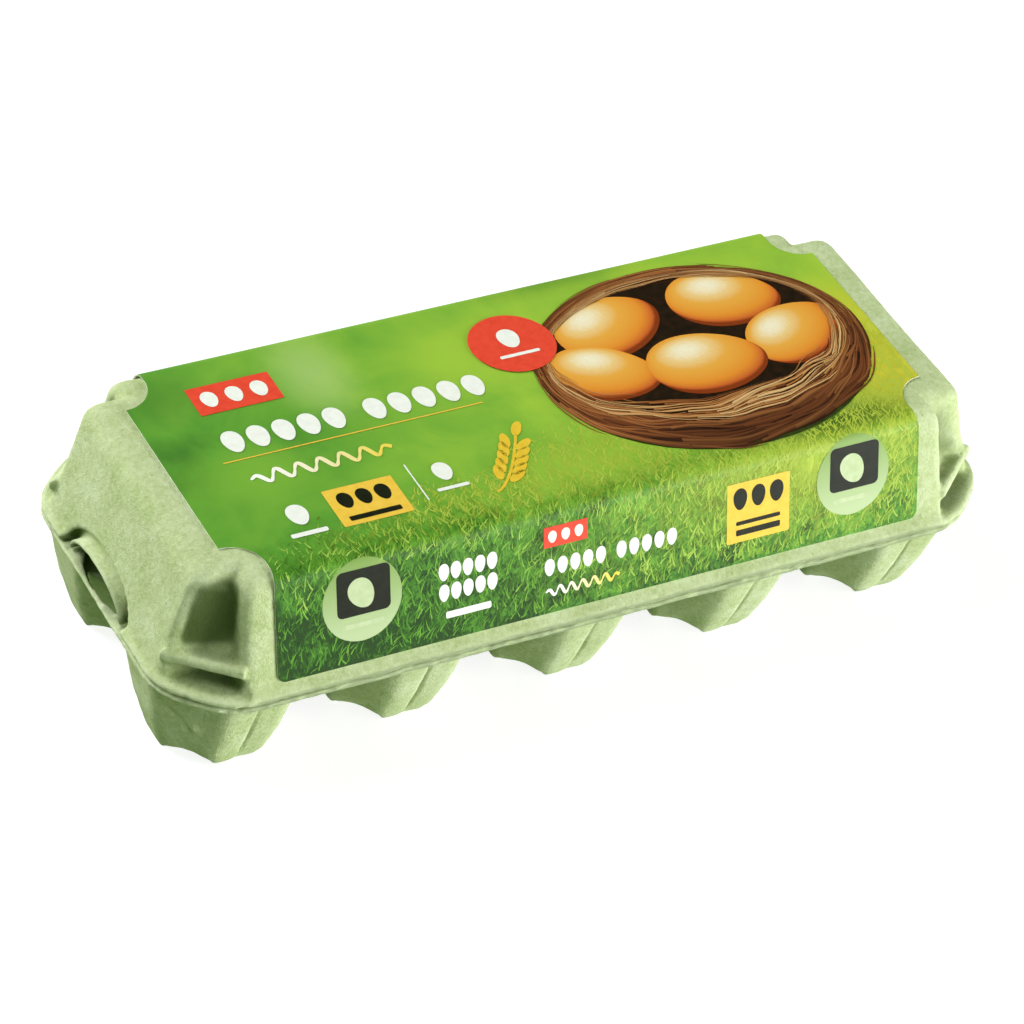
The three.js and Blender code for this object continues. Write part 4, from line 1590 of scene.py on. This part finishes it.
@dataclass
class PlainPrint:
    """The label's generic marks: rows of plain eggs, boxes, tags, discs, bars and a sprig."""

    sheet: LabelSheet

    def build(self, paints: dict[str, Material]) -> None:
        """Builds one piece for each ink.

        Args:
            paints: the finishes by name.
        """
        inks = {name: Shapes(f"print_{name}", self.sheet, lift) for name, lift in
                (("red", 0.12), ("yellow", 0.10), ("disc", 0.10), ("dark", 0.13), ("white", 0.16),
                 ("flourish", 0.13), ("sprig", 0.13), ("pale", 0.16))}
        self._top(inks)
        self._flap(inks)
        for name, shapes in inks.items():
            shapes.build(paints[name])

    @staticmethod
    def _eggs(ink: Shapes, start: float, v: float, pitch: float, half: tuple[float, float], count: int = 10,
              gap: float = 0.0) -> None:
        """Prints a row of upright eggs.

        Args:
            ink: the ink's shapes.
            start: u of the first egg.
            v: the row's place across the sheet.
            pitch: the distance from egg to egg.
            half: half an egg's width and half its length.
            count: how many eggs.
            gap: the space after the fifth.
        """
        for i in range(count):
            u = start + i * pitch + (gap if i >= 5 else 0)
            ink.egg((u, v), half[1], half[0], angle=-90, rings=2)

    @staticmethod
    def _flourish(ink: Shapes, start: tuple[float, float], length: float, height: float, width: float,
                  waves: float) -> None:
        """Prints a wavy line that swells and thins like a brush stroke.

        Args:
            ink: the ink's shapes.
            start: its left end, u and v.
            length: its length.
            height: half the waves' height.
            width: its greatest width.
            waves: how many waves.
        """
        share = np.linspace(0, 1, 160)
        turn = share * 2 * math.pi * waves
        fade = np.minimum(1, 6 * np.minimum(share, 1 - share) + 0.25)
        path = np.stack([start[0] + share * length, start[1] + height * np.sin(turn) * fade], axis=1)
        ink.stroke(path, lambda s: width * (0.45 + 0.55 * abs(math.sin(s * math.pi * waves))))

    def _top(self, inks: dict[str, Shapes]) -> None:
        """Prints the marks on the top, each at its place in millimetres on the sheet.

        Args:
            inks: the shapes of each ink.
        """
        inks["red"].box((-75.0, 26.0), 12.0, 5.7, 0.3, rings=3)
        self._eggs(inks["white"], -82.2, 26.0, 7.2, (2.3, 3.2), 3)
        badge = 8
        inks["red"].oval((4.8, 20.4), 12.2, 12.2, rings=12, layer=badge)
        inks["white"].egg((4.8, 22.6), 4.0, 3.0, angle=-90, rings=2, layer=badge)
        inks["white"].box((4.8, 15.6), 6.0, 0.6, 0.5, rings=2, layer=badge)
        self._eggs(inks["white"], -83.5, 8.0, 7.3, (2.9, 4.4), gap=4.6)
        line = np.stack([np.linspace(-89.5, -14.0, 30), np.full(30, 0.8)], axis=1)
        inks["yellow"].stroke(line, 0.42)
        self._flourish(inks["flourish"], (-85.5, -7.6), 40.5, 2.1, 1.5, 6.5)
        self._eggs(inks["white"], -80.0, -24.2, 1.0, (2.9, 4.0), 1)
        inks["white"].box((-80.0, -31.6), 5.2, 0.8, 0.5, rings=2)
        inks["yellow"].box((-60.6, -25.4), 10.0, 7.4, 0.4, rings=3)
        self._eggs(inks["dark"], -66.0, -23.2, 5.4, (2.1, 3.1), 3)
        inks["dark"].box((-60.6, -30.3), 7.4, 0.9, 0.4, rings=2)
        inks["white"].stroke(np.array([(-45.4, -15.5), (-45.4, -22.0), (-45.4, -30.5)]), 0.4)
        self._eggs(inks["white"], -37.0, -21.2, 1.0, (2.6, 3.6), 1)
        inks["white"].box((-37.0, -27.8), 4.6, 0.6, 0.4, rings=2)
        self._sprig(inks["sprig"], (-27.0, -33.5))

    def _sprig(self, ink: Shapes, root: tuple[float, float]) -> None:
        """Prints an ear of grain: a bent stem with pairs of grains and one at its tip.

        Args:
            ink: the ink's shapes.
            root: the stem's foot, u and v.
        """
        share = np.linspace(0, 1, 24)
        path = np.stack([root[0] + 15 * share**0.9, root[1] + 19 * share**1.3], axis=1)
        ink.stroke(path, 0.8)
        for i in range(5):
            at = path[8 + 3 * i]
            for side in (-1, 1):
                grain = (at[0] - side * 2.0, at[1] + side * 1.5 + 0.6)
                ink.oval(grain, 3.0, 1.35, angle=54 + side * 24, rings=2)
        ink.oval((path[-1][0] + 1.4, path[-1][1] + 2.4), 3.1, 1.4, angle=56, rings=2)

    def _flap(self, inks: dict[str, Shapes]) -> None:
        """Prints the marks on the front flap, each at its place in millimetres on the sheet.

        Args:
            inks: the shapes of each ink.
        """
        for u in (-71.5, 75.0):
            inks["disc"].oval((u, -55.4), 11.3, 11.8, rings=18)
            inks["dark"].box((u + 0.4, -53.0), 7.6, 6.6, 1.6, rings=8)
            inks["pale"].egg((u - 0.2, -53.4), 4.6, 3.5, angle=-64, rings=6)
            inks["pale"].box((u, -62.4), 6.0, 0.7, 0.4, rings=2)
        for row in range(2):
            for column in range(5):
                inks["white"].egg((-48.2 + column * 3.5, -53.6 - row * 6.0), 2.5, 1.5, angle=-90, rings=2)
        inks["white"].box((-41.2, -66.2), 6.6, 1.0, 0.5, rings=2)
        inks["red"].box((-12.6, -51.2), 6.5, 3.0, 0.3, rings=2)
        self._eggs(inks["white"], -16.5, -51.2, 3.9, (1.25, 1.75), 3)
        self._eggs(inks["white"], -17.4, -60.0, 3.8, (1.5, 2.5), gap=2.4)
        self._flourish(inks["flourish"], (-18.6, -67.2), 22.0, 1.2, 0.95, 6.5)
        inks["yellow"].box((45.6, -58.2), 9.6, 8.8, 0.4, rings=6)
        self._eggs(inks["dark"], 40.0, -54.2, 5.6, (2.1, 3.2), 3)
        inks["dark"].box((45.6, -61.4), 6.8, 0.6, 0.4, rings=2)
        inks["dark"].box((45.6, -64.2), 6.8, 0.9, 0.4, rings=2)


# Studio


def towards(azimuth: float, elevation: float) -> Vector:
    """Gives the way from the carton to what stands at an azimuth and an elevation in degrees."""
    a, e = math.radians(azimuth), math.radians(elevation)
    return Vector((math.sin(a) * math.cos(e), -math.cos(a) * math.cos(e), math.sin(e)))


@dataclass(frozen=True)
class Studio:
    """A white table, soft light from both sides, and the camera where the photo was taken."""

    azimuth: float = -32.42
    elevation: float = 39.94
    roll: float = 8.16
    distance_mm: float = 1202.5
    aim_mm: tuple[float, float, float] = (-3.26, -5.03, 28.55)
    lens_mm: float = 156.0
    sensor_mm: float = 36.0
    box_distance: float = 2.0
    box_size: float = 1.4
    boxes: tuple[tuple[str, float, float, float], ...] = (
        ("key", 44.0, 7.0, 4.35),
        ("front_light", 10.0, 3.0, 0.8),
        ("back_light", -150.0, 18.0, 2.4),
        ("top_light", -125.0, 52.0, 2.15),
    )
    # shade is greener than light, because the pulp throws its own colour back
    room_above: str = "#5e7252"
    room_below: str = "#7b946a"
    floor_half: float = 6.0
    table_glow: float = 0.88
    table_roughness: float = 0.9

    def build(self) -> None:
        """Makes the camera, the floor, the lights and the world."""
        self._camera()
        self._floor()
        self._lights()

    def _camera(self) -> None:
        """Places the camera round its aim."""
        data = bpy.data.cameras.new("photo_camera")
        data.lens = self.lens_mm
        data.sensor_width = self.sensor_mm
        data.clip_start, data.clip_end = 0.05, 20.0
        camera = bpy.data.objects.new("photo_camera", data)
        bpy.context.scene.collection.objects.link(camera)
        back = towards(self.azimuth, self.elevation)
        camera.location = (Vector(self.aim_mm) + back * self.distance_mm) * MM
        look = back.to_track_quat("Z", "Y").to_matrix().to_4x4()
        turned = look @ Matrix.Rotation(math.radians(self.roll), 4, "Z")
        camera.rotation_mode = "QUATERNION"
        camera.rotation_quaternion = turned.to_quaternion()
        bpy.context.scene.camera = camera

    def _floor(self) -> None:
        """Makes the pale floor, which gives a little light of its own, like a lit table."""
        half = self.floor_half
        corners = np.array([(-half, -half, 0), (half, -half, 0), (half, half, 0), (-half, half, 0)])
        floor = mesh_object("studio_floor", corners, [(0, 1, 2, 3)])
        material, tree, shader = new_material("White lit table", self.table_roughness)
        place = add_node(tree, "TexCoord").outputs["Object"]
        grain = add_node(tree, "TexNoise", {"Vector": place, "Scale": 60.0})
        tone = add_node(tree, "ValToRGB", {0: grain}, stops=((0.0, "#fafafa"), (1.0, "#fcfcfc")))
        matt = add_node(tree, "ValToRGB", {0: grain}, stops=((0.0, "#9c969e"), (1.0, "#9e98a0")))
        tree.links.new(matt.outputs[0], shader.inputs["Base Color"])
        tree.links.new(tone.outputs[0], shader.inputs["Emission Color"])
        shader.inputs["Emission Strength"].default_value = self.table_glow
        floor.data.materials.append(material)
        # the world's lower half stands for what the table throws back, so the table itself doesn't
        floor.visible_diffuse = False
        floor.visible_glossy = False
        floor.visible_shadow = False

    def _lights(self) -> None:
        """Makes the soft boxes and the world, darker above and paler below."""
        for name, azimuth, elevation, strength in self.boxes:
            way = towards(azimuth, elevation)
            data = bpy.data.lights.new(name, "AREA")
            data.shape = "DISK"
            data.size = self.box_size
            data.energy = strength * math.pi * self.box_distance**2
            light = bpy.data.objects.new(name, data)
            light.location = way * self.box_distance
            light.rotation_mode = "QUATERNION"
            light.rotation_quaternion = way.to_track_quat("Z", "Y")
            bpy.context.scene.collection.objects.link(light)
        world = bpy.data.worlds.new("White room")
        world.use_nodes = True
        tree = world.node_tree
        tree.nodes.clear()
        heading = add_node(tree, "SeparateXYZ", {0: add_node(tree, "TexCoord").outputs["Generated"]})
        level = add_node(tree, "MapRange",
                         {"Value": heading.outputs[2], "From Min": -0.05, "From Max": 0.05})
        tone = add_node(tree, "Mix", {0: level, 6: linear(self.room_below),
                                                7: linear(self.room_above)}, data_type="RGBA")
        air = add_node(tree, "Background", {"Color": tone.outputs[2], "Strength": 1.0})
        add_node(tree, "OutputWorld", {"Surface": air})
        bpy.context.scene.world = world
        bpy.context.scene.view_settings.view_transform = "Standard"


def paints() -> dict[str, Material]:
    """Makes every finish once.

    Returns:
        The finishes by name.
    """
    finishes = {
        "pulp": MouldedPulp(),
        "meadow": PrintedMeadow(),
        "paper": Ink("Bare label paper edge", "#f2f2ea", "#e2e4d6", 0.7),
        "red": Ink("Red ink", "#ee4f3a", "#e44531"),
        "yellow": Ink("Yellow ink", "#f6cb52", "#efc044"),
        "sprig": Ink("Deep yellow ink", "#efc83c", "#e3bb35"),
        "white": Ink("White ink", "#f8f8f4", "#eeeeea"),
        "dark": Ink("Black green ink", "#1d2113", "#14170d"),
        "pale": Ink("Pale green ink", "#c9d5ae", "#b9c89a"),
        "disc": FadingInk("Pale disc ink", "#bccd9f", "#86a556", True),
        "flourish": FadingInk("White to yellow ink", "#fbfbf6", "#f2d95a"),
        "shadow": Ink("Printed shade under the nest", "#3d4a1c", "#2c3814"),
        "bed": Ink("Printed shade in the nest", "#2c180d", "#150a05"),
        "egg": PrintedEgg(),
        "twig_dark": PrintedStrands("Printed wall twigs", "#1c0c06", "#34170b", (
            (0.0, "#2a130a"), (0.4, "#5c2e18"), (0.75, "#8a4c28"), (1.0, "#b0703f"))),
        "twig_light": PrintedStrands("Printed rim twigs", "#4a2412", "#e6c08a", (
            (0.0, "#6a3a1c"), (0.35, "#a66534"), (0.7, "#cc9156"), (1.0, "#e6c08a"))),
        "grass": PrintedStrands("Printed grass blades", "#35661a", "#bcca48", (
            (0.0, "#1e430c"), (0.35, "#4a8a24"), (0.7, "#77b039"), (1.0, "#b2d462"))),
    }
    return {name: finish.build() for name, finish in finishes.items()}


def main() -> None:
    """Builds the studio and the carton in order."""
    logging.basicConfig(level=logging.INFO, format="%(name)s: %(message)s")
    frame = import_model()
    Studio().build()
    finishes = paints()
    solids = solids_tree(frame["nodes"][name] for name in ("tray", "lid"))
    CupTray("tray", "pulp_tray", dents=TRAY_DENTS).build(frame["nodes"]["tray"], solids, finishes["pulp"])
    NotchedLid("lid", "pulp_lid").build(frame["nodes"]["lid"], solids, finishes["pulp"])
    sheet = LabelSheet()
    sheet.build(finishes["meadow"], finishes["paper"])
    Meadow(sheet).build(finishes["grass"])
    Nest(sheet).build(finishes)
    PlainPrint(sheet).build(finishes)


if __name__ == "__main__":
    main()
